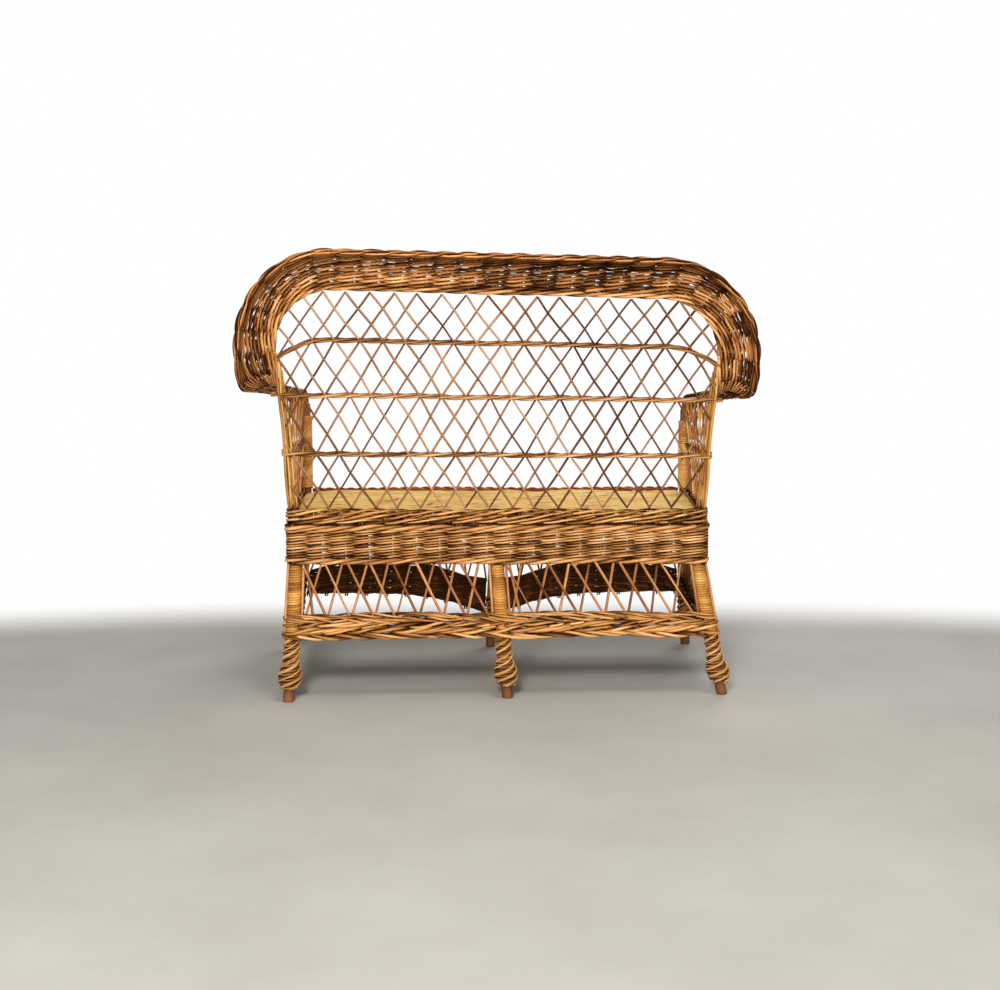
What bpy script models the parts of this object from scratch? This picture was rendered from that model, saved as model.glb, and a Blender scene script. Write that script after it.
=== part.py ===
"""Two-seat wicker settee with a lattice back, rolled arms and six bound legs.

Metres, +Z up. The back of the settee faces +Y and the sitter looks along -Y.
"""
import math

import bmesh
import bpy
import numpy as np
from mathutils import Vector
from mathutils.geometry import delaunay_2d_cdt

for old in list(bpy.data.objects):
    bpy.data.objects.remove(old, do_unlink=True)

# Fits
GAP = 0.0003
REST_GAP = 0.0005
SEAM = 0.0015

# Seat plan, measured over the woven bands
REAR_HALF_WIDTH = 0.454
SEAT_FLARE = 0.037
SEAT_DEPTH = 0.493

# Woven band round the seat
BAND_BOTTOM = 0.286
BAND_HEIGHT = 0.086
BAND_THICKNESS = 0.013
WALE_HEIGHT = 0.014
WALE_BULGE = 0.004
BAND_ROWS = 10
BAND_ROW_PITCH = 0.006
BAND_FIRST_ROW = 0.0175
BAND_ROW_DEPTH = 0.004

# Plaited border that the back and arms stand on
PLAIT_HEIGHT = 0.034
PLAIT_THICKNESS = 0.020
PLAIT_ROUNDING = 0.006

# Seat panel and the rod along its front edge
PANEL_THICKNESS = 0.022
PANEL_EDGE = 0.004
FRONT_ROD_RADIUS = 0.006
FRONT_ROD_RISE = 0.004

# Wooden rails under the seat
RAIL_RADIUS = 0.010
RAIL_BELOW_BAND_TOP = 0.010
SIDE_RAIL_DROP = 0.024
CENTRE_RAIL_OFFSET = 0.034
TENON_RADIUS = 0.0055
TENON_LENGTH = 0.0125
SOCKET_EXTRA_DEPTH = 0.0006

# Legs
POLE_RADIUS = 0.0105
PEG_RADIUS = 0.0115
PEG_HEIGHT = 0.025
PEG_EDGE = 0.002
BULB_RADIUS = 0.0195
BULB_HEIGHT = 0.056
SWELL_AT_PEG = 0.25
SWELL_AT_NECK = 0.15
BULB_STEPS = 5
REAR_FOOT_SPLAY = 0.0125
REAR_FOOT_SHIFT = -0.006
FRONT_FOOT_SPLAY = 0.004
REAR_FOOT_BEHIND = 0.0195
FRONT_FOOT_SETBACK = 0.0185
FOOT_TWIST_DEGREES = 3.4

# Cane wound round the feet, and flat cane bound round legs and arm posts
WINDING_TURNS = 8
WINDING_POINTS = 7
WINDING_DEPTH = 0.0052
WINDING_TURN_GAP = 0.0010
WRAP_THICKNESS = 0.0040

# Plaited stretcher low on the legs
BRAID_BOTTOM = 0.127
BRAID_HEIGHT = 0.055
BRAID_THICKNESS = 0.036
BRAID_ROUNDING = 0.005
BRAID_OVERHANG = 0.018

# Open canework
CANE_WIDTH = 0.0055
CANE_PITCH = 0.0488
CANE_PHASE = -0.008
ARM_CANE_PITCH = 0.058
NET_THICKNESS = 0.006
NET_FRAME = 0.0045
LEAST_HOLE_AREA = 0.00008
SKIRT_COLUMNS = 8
SIDE_SKIRT_COLUMNS = 8
SKIRT_LEG_CLEARANCE = 0.0022

# Back, measured up its slope from the plaited border
BACK_LEAN_DEGREES = 9.0
BACK_SKEW = 0.026
LOWER_BAND_UP = 0.1158
MIDDLE_BAND_UP = 0.2393
UPPER_BAND_UP = 0.3527
BACK_UP = 0.4575
BACK_FLARE = 0.007
BACK_INSET_AT_SEAT = 0.020
BACK_INSET_AT_ARM = 0.011
SHOULDER_RADIUS = 0.124
SHOULDER_STEPS = 6
BACK_BAND_HEIGHT = 0.008
BACK_BAND_WALL = 0.005
STAKE_RADIUS = 0.006
STAKE_TOP_BELOW_ARM = 0.016

# Rolled edge of the back and the arms
WALE_RADIUS = 0.0065
ROLL_WIDTH = 0.110
ROLL_THICKNESS = 0.0105
ROLL_ROWS = 13
ROLL_FIRST_ROW = 0.105
ROLL_LAST_ROW = 0.905
ROLL_ROW_RIDGE = 0.0064
ROLL_ROW_GROOVE = 0.0032
BORDER_RADIUS = 0.0070
CURL_GROWTH = 1.6
BACK_CURL_DEGREES = 95.0
SIDE_CURL_DEGREES = 116.0
ARM_CURL_DEGREES = 85.0
ARM_TILT_DEGREES = 24.0
ARM_UP = 0.255
ARM_ROLL_WIDTH = 0.061
ARM_ROLL_ROWS = 4
ARM_END_WIDTH = 0.034
ARM_REAR_BEND = 0.074
ARM_BEND_STEPS = 4
ARM_FRONT_BEND = 0.050
POST_SHOULDER_SHARE = 0.48
POST_TIP_SHARE = 0.26
POST_TIP_RADIUS = 0.003
ARM_FRONT_STEPS = 3
ARM_FRONT_DROP = 0.030
ARM_END_LENGTH = 0.105

# Woven apron under the front of the seat
APRON_EDGE_Z = 0.140
APRON_LOBE_Z = 0.092
APRON_TOP_INNER = 0.170
APRON_TOP_RISE = 0.042
APRON_TOP_FALL = 0.020
APRON_THICKNESS = 0.010
APRON_COLUMNS = 9
APRON_STEPS = 10
APRON_LOBE_SHARE = 0.24
APRON_LOBE_POWER = 1.5
APRON_WEAVE_ROWS = 4
APRON_WEAVE_DEPTH = 0.0024

SIDES = 10
RAIL_SIDES = 8
ROPE_SIDES = 8


def principled(name, colour, roughness):
    made = bpy.data.materials.new(name)
    made.use_nodes = True
    shader = made.node_tree.nodes["Principled BSDF"]
    shader.inputs["Base Color"].default_value = (*colour, 1.0)
    shader.inputs["Roughness"].default_value = roughness
    shader.inputs["Metallic"].default_value = 0.0
    made.diffuse_color = (*colour, 1.0)
    return made


WILLOW = principled("woven willow", (0.46, 0.22, 0.065), 0.55)
LATTICE_CANE = principled("lattice cane", (0.33, 0.14, 0.04), 0.50)
FLAT_CANE = principled("glossy flat cane", (0.58, 0.31, 0.09), 0.35)
RUSH = principled("woven rush", (0.62, 0.38, 0.10), 0.70)
BARE_WOOD = principled("bare wood", (0.30, 0.13, 0.06), 0.65)
RED_CANE = principled("reddish cane", (0.40, 0.16, 0.05), 0.50)

root = bpy.data.objects.new("settee_root", None)
bpy.context.scene.collection.objects.link(root)


def make_object(name, points, faces, finish, smooth):
    low = Vector([min(p[axis] for p in points) for axis in range(3)])
    high = Vector([max(p[axis] for p in points) for axis in range(3)])
    middle = (low + high) / 2
    mesh = bpy.data.meshes.new(name)
    mesh.from_pydata([tuple(p - middle) for p in points], [], faces)
    shaped = bmesh.new()
    shaped.from_mesh(mesh)
    bmesh.ops.recalc_face_normals(shaped, faces=shaped.faces)
    if shaped.calc_volume(signed=True) < 0:
        bmesh.ops.reverse_faces(shaped, faces=shaped.faces)
    for face in shaped.faces:
        face.smooth = smooth
    shaped.to_mesh(mesh)
    shaped.free()
    mesh.materials.append(finish)
    made = bpy.data.objects.new(name, mesh)
    bpy.context.scene.collection.objects.link(made)
    made.parent = root
    made.location = middle
    return made


def sweep(name, loops, finish, smooth=True):
    """Close a row of loops of equal, even length into one body."""
    count = len(loops[0])
    points = [p for loop in loops for p in loop]
    faces = []
    for row in range(len(loops) - 1):
        for k in range(count):
            after = (k + 1) % count
            faces.append((row * count + k, row * count + after,
                          (row + 1) * count + after, (row + 1) * count + k))
    for start in (0, (len(loops) - 1) * count):
        for k in range(count // 2 - 1):
            faces.append((start + k, start + k + 1,
                          start + count - 2 - k, start + count - 1 - k))
    return make_object(name, points, faces, finish, smooth)


def prism(name, flat_loops, outer_layers, hole_layers, finish, smooth=False, bumps=()):
    """Close a stack of outlines, with straight holes through it, into one body.

    flat_loops holds the outline and the holes as flat points, for the caps.
    bumps holds flat points inside the outline, each with its place on both caps.
    """
    flat = []
    edges = []
    owner = []
    for number, loop in enumerate(flat_loops):
        start = len(flat)
        flat.extend(Vector((p[0], p[1])) for p in loop)
        owner.extend([number] * len(loop))
        edges.extend((start + k, start + (k + 1) % len(loop)) for k in range(len(loop)))
    outline = len(flat_loops[0])
    holes = len(flat) - outline
    flat.extend(Vector(spot) for spot, low, high in bumps)
    owner.extend([0] * len(bumps))
    result = delaunay_2d_cdt(flat, edges, [], 1, 1e-9)
    source = [ids[0] for ids in result[3]]
    triangles = []
    for face in result[2]:
        ids = [source[k] for k in face]
        owners = {owner[k] for k in ids}
        if len(owners) == 1 and owners != {0}:
            continue
        triangles.append(ids)
    points = []
    for layer in outer_layers:
        points.extend(layer)
    hole_start = len(points)
    for layer in hole_layers:
        points.extend(layer)
    bump_start = len(points)
    points.extend(low for spot, low, high in bumps)
    points.extend(high for spot, low, high in bumps)
    last = len(outer_layers) - 1

    def cap_index(k, end):
        if k < outline:
            return (last if end else 0) * outline + k
        if k < outline + holes:
            return hole_start + (holes if end else 0) + k - outline
        return bump_start + (len(bumps) if end else 0) + k - outline - holes

    faces = []
    for ids in triangles:
        faces.append([cap_index(k, False) for k in reversed(ids)])
        faces.append([cap_index(k, True) for k in ids])
    for row in range(last):
        for k in range(outline):
            after = (k + 1) % outline
            faces.append((row * outline + k, row * outline + after,
                          (row + 1) * outline + after, (row + 1) * outline + k))
    start = 0
    for loop in flat_loops[1:]:
        for k in range(len(loop)):
            after = (k + 1) % len(loop)
            low = hole_start + start + k
            low_after = hole_start + start + after
            faces.append((low, low_after, low_after + holes, low + holes))
        start += len(loop)
    return make_object(name, points, faces, finish, smooth)


def cut(target, cutter):
    cutter.hide_render = True
    cutter.hide_viewport = False
    cutter.display_type = "WIRE"
    step = target.modifiers.new("sockets", "BOOLEAN")
    step.operation = "DIFFERENCE"
    step.solver = "EXACT"
    step.object = cutter


def ring(centre, across, along, radius, count):
    turn = 2 * math.pi / count
    return [centre + across * (radius * math.cos(turn * (k + 0.5)))
            + along * (radius * math.sin(turn * (k + 0.5))) for k in range(count)]


def flat_ring(centre, radius, count):
    return ring(Vector(centre), Vector((1, 0, 0)), Vector((0, 1, 0)), radius, count)


def frames_along(path):
    """Steady side and up directions along a row of points."""
    tangents = []
    for k in range(len(path)):
        before = path[max(k - 1, 0)]
        after = path[min(k + 1, len(path) - 1)]
        tangents.append((after - before).normalized())
    first = tangents[0]
    across = first.orthogonal().normalized()
    frames = []
    for tangent in tangents:
        across = (across - tangent * across.dot(tangent)).normalized()
        frames.append((across, tangent.cross(across)))
    return frames


def rope(name, path, radius, finish):
    frames = frames_along(path)
    loops = [ring(p, a, b, radius, ROPE_SIDES) for p, (a, b) in zip(path, frames)]
    return sweep(name, loops, finish)


def bar_loops(path_and_radius, across, up, count):
    return [ring(p, across, up, radius, count) for p, radius in path_and_radius]


def clip(polygon, outline):
    """Keep the part of a convex polygon that lies inside a convex outline."""
    kept = polygon
    for k in range(len(outline)):
        ax, ay = outline[k]
        bx, by = outline[(k + 1) % len(outline)]
        depth = [(bx - ax) * (y - ay) - (by - ay) * (x - ax) for x, y in kept]
        fresh = []
        for i in range(len(kept)):
            j = (i + 1) % len(kept)
            if depth[i] >= 0:
                fresh.append(kept[i])
            if (depth[i] >= 0) != (depth[j] >= 0):
                share = depth[i] / (depth[i] - depth[j])
                fresh.append((kept[i][0] + share * (kept[j][0] - kept[i][0]),
                              kept[i][1] + share * (kept[j][1] - kept[i][1])))
        kept = fresh
        if len(kept) < 3:
            return []
    clean = []
    for p in kept:
        if not clean or math.dist(p, clean[-1]) > CANE_WIDTH / 4:
            clean.append(p)
    if len(clean) > 1 and math.dist(clean[0], clean[-1]) <= CANE_WIDTH / 4:
        clean.pop()
    return clean if len(clean) > 2 else []


def area(polygon):
    return abs(sum(polygon[k - 1][0] * polygon[k][1] - polygon[k][0] * polygon[k - 1][1]
                   for k in range(len(polygon)))) / 2


def inset(outline, amount):
    """Move each edge of a convex counter-clockwise outline inward."""
    count = len(outline)
    moved = []
    for k in range(count):
        p = Vector(outline[k])
        before = (p - Vector(outline[k - 1])).normalized()
        after = (Vector(outline[(k + 1) % count]) - p).normalized()
        left_a = Vector((-before.y, before.x))
        left_b = Vector((-after.y, after.x))
        mitre = (left_a + left_b) / (1 + left_a.dot(left_b))
        moved.append((p.x + mitre.x * amount, p.y + mitre.y * amount))
    return moved


def diamonds(levels, pitch, phase, half_count, inside):
    """Openings between two sets of slanting canes that cross at each level."""
    heights = [2 * levels[0] - levels[1]] + list(levels) + [2 * levels[-1] - levels[-2]]
    openings = []
    for middle in range(1, len(heights) - 1):
        low, mid, high = heights[middle - 1], heights[middle], heights[middle + 1]
        shift = 0.0 if middle % 2 else 0.5
        rise = (high - low) / 2
        inner = (pitch / 2) * rise / math.hypot(pitch / 2, rise)
        scale = 1 - (CANE_WIDTH / 2) / inner
        for k in range(-half_count, half_count + 1):
            x = phase + (k + shift) * pitch
            shape = [(x, mid + (low - mid) * scale), (x + scale * pitch / 2, mid),
                     (x, mid + (high - mid) * scale), (x - scale * pitch / 2, mid)]
            shape = clip(shape, inside)
            if shape and area(shape) > LEAST_HOLE_AREA:
                openings.append(shape)
    return openings


def net(name, outline, openings, place, thickness, finish, waves=()):
    """Pierced panel; waves holds flat points that stand out of it, with their heights."""
    half = thickness / 2
    outer = [[place(x, y, side * half) for x, y in outline] for side in (-1, 1)]
    inner = [[place(x, y, side * half) for hole in openings for x, y in hole]
             for side in (-1, 1)]
    bumps = [((x, y), place(x, y, rise - half), place(x, y, rise + half)) for x, y, rise in waves]
    return prism(name, [outline] + openings, outer, inner, finish, bumps=bumps)


def patch(corners):
    """Place flat points on the four-cornered patch: bottom a, b, then top b, a."""
    a, b, c, d = corners
    width = ((b - a).length + (c - d).length) / 2
    height = ((d - a).length + (c - b).length) / 2
    normal = (b - a).cross(d - a).normalized()

    def place(x, y, w):
        s, t = x / width, y / height
        low = a.lerp(b, s)
        high = d.lerp(c, s)
        return low.lerp(high, t) + normal * w

    return width, height, place


def smooth_step(t):
    t = min(max(t, 0.0), 1.0)
    return t * t * (3 - 2 * t)


# Heights and planes that follow from the sizes
REAR_Y = SEAT_DEPTH / 2
FRONT_Y = -SEAT_DEPTH / 2
FRONT_HALF_WIDTH = REAR_HALF_WIDTH + SEAT_FLARE
REAR_FOOT_HALF = REAR_HALF_WIDTH + REAR_FOOT_SPLAY
FRONT_FOOT_HALF = FRONT_HALF_WIDTH + FRONT_FOOT_SPLAY
REAR_FOOT_Y = REAR_Y + REAR_FOOT_BEHIND
FRONT_FOOT_Y = FRONT_Y + FRONT_FOOT_SETBACK
BACK_SIDE_HALF = REAR_HALF_WIDTH + BACK_FLARE
BACK_HALF_AT_SEAT = REAR_HALF_WIDTH - BACK_INSET_AT_SEAT
BACK_HALF_AT_ARM = BACK_SIDE_HALF - BACK_INSET_AT_ARM
BAND_TOP = BAND_BOTTOM + BAND_HEIGHT
PLAIT_BOTTOM = BAND_TOP + GAP
PLAIT_TOP = PLAIT_BOTTOM + PLAIT_HEIGHT
RAIL_Z = BAND_TOP - RAIL_BELOW_BAND_TOP
SIDE_RAIL_Z = RAIL_Z - SIDE_RAIL_DROP
PANEL_BOTTOM = RAIL_Z + RAIL_RADIUS + REST_GAP
PANEL_TOP = PANEL_BOTTOM + PANEL_THICKNESS
BRAID_TOP = BRAID_BOTTOM + BRAID_HEIGHT
WRAP_RADIUS = POLE_RADIUS + GAP + WRAP_THICKNESS
LEG_INSET = BAND_THICKNESS + GAP + POLE_RADIUS


def side_x(y):
    """Outer face of the seat's side bands, as a half width."""
    share = (REAR_Y - y) / SEAT_DEPTH
    return REAR_HALF_WIDTH + (FRONT_HALF_WIDTH - REAR_HALF_WIDTH) * share


def knee_point(side, y):
    x = side * (side_x(y) - LEG_INSET) if side else 0.0
    return Vector((x, y, BAND_BOTTOM))


def foot_point(side, half, shift, y):
    twist = math.radians(FOOT_TWIST_DEGREES)
    x = side * half + shift
    return Vector((x * math.cos(twist) - y * math.sin(twist),
                   x * math.sin(twist) + y * math.cos(twist), 0.0))


LEG_REAR_Y = REAR_Y - LEG_INSET
LEG_FRONT_Y = FRONT_Y + LEG_INSET
LEGS = {}
for row, leg_y, foot_half, shift, foot_y in (
        ("rear", LEG_REAR_Y, REAR_FOOT_HALF, REAR_FOOT_SHIFT, REAR_FOOT_Y),
        ("front", LEG_FRONT_Y, FRONT_FOOT_HALF, 0.0, FRONT_FOOT_Y)):
    for place_name, side in (("left", 1), ("centre", 0), ("right", -1)):
        LEGS[row + "_" + place_name] = (foot_point(side, foot_half, shift, foot_y),
                                        knee_point(side, leg_y))


def leg_axis(leg, z):
    foot, knee = LEGS[leg]
    if z >= knee.z:
        return Vector((knee.x, knee.y, z))
    return foot + (knee - foot) * (z / knee.z)


def core_radius(z):
    """Pole with a swelling above the peg, as a radius at a height."""
    low, high = PEG_HEIGHT, BRAID_BOTTOM - REST_GAP
    if z <= low or z >= high:
        return POLE_RADIUS
    if z < BULB_HEIGHT:
        swell = smooth_step(SWELL_AT_PEG + (1 - SWELL_AT_PEG) * (z - low) / (BULB_HEIGHT - low))
    else:
        swell = smooth_step(1 - (1 - SWELL_AT_NECK) * (z - BULB_HEIGHT) / (high - BULB_HEIGHT))
    return POLE_RADIUS + (BULB_RADIUS - POLE_RADIUS) * swell


# Back plane
BACK_LEAN = math.radians(BACK_LEAN_DEGREES)
BACK_FOOT = Vector((0, REAR_Y - PLAIT_THICKNESS / 2,
                    PLAIT_TOP + GAP + STAKE_RADIUS * math.sin(BACK_LEAN)))
BACK_RISE = Vector((0, math.sin(BACK_LEAN), math.cos(BACK_LEAN)))
BACK_OUT = Vector((0, math.cos(BACK_LEAN), -math.sin(BACK_LEAN)))


def back_point(x, up, w=0.0):
    skewed = up + BACK_SKEW * x * up / BACK_UP
    return BACK_FOOT + Vector((x, 0, 0)) + BACK_RISE * skewed + BACK_OUT * w


POST_FACE = WRAP_RADIUS + WALE_RADIUS + GAP


def arm_rear_corner(sign):
    return back_point(sign * BACK_SIDE_HALF, ARM_UP)


def arm_front_corner(sign):
    post = LEGS["front_left" if sign > 0 else "front_right"][1]
    return Vector((post.x, post.y - POST_FACE, arm_rear_corner(sign).z - ARM_FRONT_DROP))


def post_top(leg):
    corner = arm_front_corner(1 if leg == "front_left" else -1)
    return corner.z - ARM_FRONT_BEND - WALE_RADIUS


def post_tip(leg):
    """Bare end of a post above its binding, whittled to a point under the bend of the arm."""
    under = arm_front_corner(1 if leg == "front_left" else -1).z - WALE_RADIUS
    return [(under - ARM_FRONT_BEND * POST_SHOULDER_SHARE, POLE_RADIUS),
            (under - ARM_FRONT_BEND * POST_TIP_SHARE, POST_TIP_RADIUS)]


# Legs, their windings and their bindings
BULB_HEIGHTS = [PEG_HEIGHT + (BRAID_BOTTOM - REST_GAP - PEG_HEIGHT) * k / BULB_STEPS
                for k in range(BULB_STEPS + 1)]


def leg_loops(leg, top, tenon, tip=()):
    rows = [(0.0, PEG_RADIUS - PEG_EDGE), (PEG_EDGE, PEG_RADIUS), (PEG_HEIGHT, PEG_RADIUS)]
    rows.append((PEG_HEIGHT, core_radius(PEG_HEIGHT + GAP)))
    rows += [(z, core_radius(z)) for z in BULB_HEIGHTS[1:-1]]
    rows.append((BULB_HEIGHTS[-1], POLE_RADIUS))
    rows.append((BAND_BOTTOM, POLE_RADIUS))
    rows.append((top, POLE_RADIUS))
    if tenon:
        rows.append((top, TENON_RADIUS))
        rows.append((top + tenon, TENON_RADIUS))
    rows += tip
    return [flat_ring(leg_axis(leg, z), radius, SIDES) for z, radius in rows]


leg_objects = {}
CENTRE_LEG_TOP = RAIL_Z - RAIL_RADIUS - GAP
for leg in LEGS:
    if leg.endswith("centre"):
        leg_objects[leg] = sweep(leg + "_leg", leg_loops(leg, CENTRE_LEG_TOP, TENON_LENGTH), BARE_WOOD)
    elif leg.startswith("front"):
        leg_objects[leg] = sweep(leg + "_post", leg_loops(leg, post_top(leg), 0.0, post_tip(leg)), BARE_WOOD)
    else:
        leg_objects[leg] = sweep(leg + "_leg", leg_loops(leg, PANEL_BOTTOM - REST_GAP, 0.0), BARE_WOOD)


def foot_winding(leg):
    """One unbroken cane wound up the swelling of a foot."""
    low = PEG_HEIGHT + REST_GAP
    high = BRAID_BOTTOM - 2 * REST_GAP
    pitch = (high - low) / (WINDING_TURNS + 1)
    half_height = (pitch - WINDING_TURN_GAP) / 2
    chord = math.cos(math.pi / WINDING_POINTS)
    loops = []
    for k in range(WINDING_TURNS * WINDING_POINTS + 1):
        angle = 2 * math.pi * k / WINDING_POINTS
        z = low + pitch / 2 + pitch * k / WINDING_POINTS
        out = Vector((math.cos(angle), math.sin(angle), 0))
        inner = (core_radius(z) + GAP) / chord
        loop = []
        for radius, height in ((inner, 0.0), (inner + WINDING_DEPTH / 2, half_height),
                               (inner + WINDING_DEPTH, 0.0),
                               (inner + WINDING_DEPTH / 2, -half_height)):
            loop.append(leg_axis(leg, z + height) + out * radius)
        loops.append(loop)
    sweep(leg + "_foot_winding", loops, WILLOW)
    corners = np.array([[tuple(p) for p in loop] for loop in loops])
    least = 1.0
    for k in range(len(loops) - WINDING_POINTS):
        later = corners[k + WINDING_POINTS - 1:].reshape(-1, 3)
        apart = np.linalg.norm(corners[k][:, None, :] - later[None, :, :], axis=2)
        least = min(least, float(apart.min()))
    return least


def sleeve(name, leg, low, high, finish):
    inner = POLE_RADIUS + GAP
    outer = inner + WRAP_THICKNESS
    flat = [flat_ring((0, 0, 0), outer, SIDES), flat_ring((0, 0, 0), inner, SIDES)]
    ends = (low, high)
    return prism(name, flat,
                 [flat_ring(leg_axis(leg, z), outer, SIDES) for z in ends],
                 [flat_ring(leg_axis(leg, z), inner, SIDES) for z in ends], finish, True)


least_gaps = []
for leg in LEGS:
    least_gaps.append(foot_winding(leg))
    sleeve(leg + "_leg_wrap", leg, BRAID_TOP + REST_GAP, BAND_BOTTOM - REST_GAP, FLAT_CANE)
for leg in ("front_left", "front_right"):
    sleeve(leg.replace("front_", "") + "_post_wrap", leg, PLAIT_TOP + REST_GAP,
           post_top(leg) - REST_GAP, FLAT_CANE)
print("least gap between turns of a foot winding, m:", round(min(least_gaps), 5))


# Rails with round tenons in sockets
def rail(name, start, end, start_inset, end_inset):
    along = (end - start).normalized()
    across = Vector((0, 0, 1)).cross(along).normalized()
    up = along.cross(across)
    first = start + along * start_inset
    last = end - along * end_inset
    body = [(first - along * TENON_LENGTH, TENON_RADIUS), (first, TENON_RADIUS),
            (first, RAIL_RADIUS), (last, RAIL_RADIUS), (last, TENON_RADIUS),
            (last + along * TENON_LENGTH, TENON_RADIUS)]
    made = sweep(name, bar_loops(body, across, up, RAIL_SIDES), BARE_WOOD)
    return made, (first, -along), (last, along)


def socket_loops(mouth, direction, sides):
    across = Vector((0, 0, 1)).cross(direction)
    if across.length < 0.5:
        across = Vector((1, 0, 0))
    across = across.normalized()
    up = direction.cross(across)
    clear = TENON_RADIUS + GAP
    reach = TENON_LENGTH + SOCKET_EXTRA_DEPTH
    return bar_loops([(mouth - direction * RAIL_RADIUS, clear), (mouth + direction * reach, clear)],
                     across, up, sides)


def socket(target, mouth, direction, sides=RAIL_SIDES):
    number = len(target.modifiers) + 1
    cutter = sweep(target.name + "_socket_" + str(number), socket_loops(mouth, direction, sides), BARE_WOOD)
    cut(target, cutter)


LEG_FACE = POLE_RADIUS + GAP


def knee_at(leg, z):
    return Vector((LEGS[leg][1].x, LEGS[leg][1].y, z))


rails = {}
for row in ("rear", "front"):
    rails[row], first, last = rail(row + "_rail", knee_at(row + "_left", RAIL_Z),
                                   knee_at(row + "_right", RAIL_Z), LEG_FACE, LEG_FACE)
    socket(leg_objects[row + "_left"], *first)
    socket(leg_objects[row + "_right"], *last)
    under = knee_at(row + "_centre", RAIL_Z - RAIL_RADIUS)
    socket(rails[row], under, Vector((0, 0, 1)), SIDES)
for side in ("left", "right"):
    made, first, last = rail(side + "_rail", knee_at("rear_" + side, SIDE_RAIL_Z),
                             knee_at("front_" + side, SIDE_RAIL_Z), LEG_FACE, LEG_FACE)
    socket(leg_objects["rear_" + side], *first)
    socket(leg_objects["front_" + side], *last)
RAIL_FACE = RAIL_RADIUS + GAP
made, first, last = rail("centre_rail", Vector((CENTRE_RAIL_OFFSET, LEG_REAR_Y, RAIL_Z)),
                         Vector((CENTRE_RAIL_OFFSET, LEG_FRONT_Y, RAIL_Z)), RAIL_FACE, RAIL_FACE)
socket(rails["rear"], *first)
socket(rails["front"], *last)


# Woven seat bands, plaited border, seat panel
def layered(name, layers, finish, outline):
    """Stack plan outlines: layers holds heights and how far the outline grows there."""
    rows = [[Vector((x, y, z)) for x, y in outline(z, grow)] for z, grow in layers]
    flat = [(p.x, p.y) for p in rows[0]]
    return prism(name, [flat], rows, [[], []], finish)


BAND_LAYERS = [(BAND_BOTTOM, 0.0), (BAND_BOTTOM + WALE_HEIGHT / 4, WALE_BULGE),
               (BAND_BOTTOM + WALE_HEIGHT * 3 / 4, WALE_BULGE)]
for row in range(BAND_ROWS + 1):
    row_z = BAND_BOTTOM + BAND_FIRST_ROW + (row - 0.5) * BAND_ROW_PITCH
    BAND_LAYERS.append((row_z, -BAND_ROW_DEPTH))
    if row < BAND_ROWS:
        BAND_LAYERS.append((row_z + BAND_ROW_PITCH / 2, 0.0))
BAND_LAYERS += [(BAND_TOP - WALE_HEIGHT * 3 / 4, WALE_BULGE), (BAND_TOP - WALE_HEIGHT / 4, WALE_BULGE),
                (BAND_TOP, 0.0)]


def end_band(sign, half):
    face = sign * SEAT_DEPTH / 2

    def outline(z, grow):
        far = face + sign * grow
        near = face - sign * BAND_THICKNESS
        wide = half + grow
        loop = [(-wide, near), (wide, near), (wide, far), (-wide, far)]
        return loop if sign > 0 else loop[::-1]

    return outline


def side_band(sign):
    rear = REAR_Y - BAND_THICKNESS - WALE_BULGE - GAP
    front = FRONT_Y + BAND_THICKNESS + GAP

    def outline(z, grow):
        loop = []
        for y, offset in ((rear, -BAND_THICKNESS), (front, -BAND_THICKNESS), (front, grow), (rear, grow)):
            loop.append((sign * (side_x(y) + offset), y))
        return loop if sign < 0 else loop[::-1]

    return outline


layered("rear_seat_band", BAND_LAYERS, WILLOW, end_band(1, REAR_HALF_WIDTH))
layered("front_seat_band", BAND_LAYERS, WILLOW, end_band(-1, FRONT_HALF_WIDTH))
layered("left_seat_band", BAND_LAYERS, WILLOW, side_band(1))
layered("right_seat_band", BAND_LAYERS, WILLOW, side_band(-1))

PLAIT_LAYERS = [(PLAIT_BOTTOM, -PLAIT_ROUNDING), (PLAIT_BOTTOM + PLAIT_ROUNDING, 0.0),
                (PLAIT_TOP - PLAIT_ROUNDING, 0.0), (PLAIT_TOP, -PLAIT_ROUNDING)]


def rear_plait(z, grow):
    wide = REAR_HALF_WIDTH + grow
    near = REAR_Y - PLAIT_THICKNESS - grow
    far = REAR_Y + grow
    return [(-wide, near), (wide, near), (wide, far), (-wide, far)]


PLAIT_FRONT = LEG_FRONT_Y + POLE_RADIUS + REST_GAP


def side_plait(sign):
    rear = REAR_Y - PLAIT_THICKNESS - GAP

    def outline(z, grow):
        loop = []
        for y, offset in ((rear, -PLAIT_THICKNESS - grow), (PLAIT_FRONT, -PLAIT_THICKNESS - grow),
                          (PLAIT_FRONT, grow), (rear, grow)):
            loop.append((sign * (side_x(y) + offset), y))
        return loop if sign < 0 else loop[::-1]

    return outline


layered("rear_foot_plait", PLAIT_LAYERS, WILLOW, rear_plait)
layered("left_foot_plait", PLAIT_LAYERS, WILLOW, side_plait(1))
layered("right_foot_plait", PLAIT_LAYERS, WILLOW, side_plait(-1))

PANEL_LAYERS = [(PANEL_BOTTOM, 0.0), (PANEL_TOP - PANEL_EDGE, 0.0), (PANEL_TOP, -PANEL_EDGE)]


def panel_outline(z, grow):
    rear = REAR_Y - PLAIT_THICKNESS - GAP + grow
    notch = PLAIT_FRONT + GAP + REST_GAP - grow
    front = FRONT_Y - grow
    inside = PLAIT_THICKNESS + GAP - grow
    neck = LEGS["front_left"][1].x - POLE_RADIUS - REST_GAP + grow
    return [(-neck, front), (neck, front), (neck, notch), (side_x(notch) - inside, notch),
            (side_x(rear) - inside, rear), (inside - side_x(rear), rear),
            (inside - side_x(notch), notch), (-neck, notch)]


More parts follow.
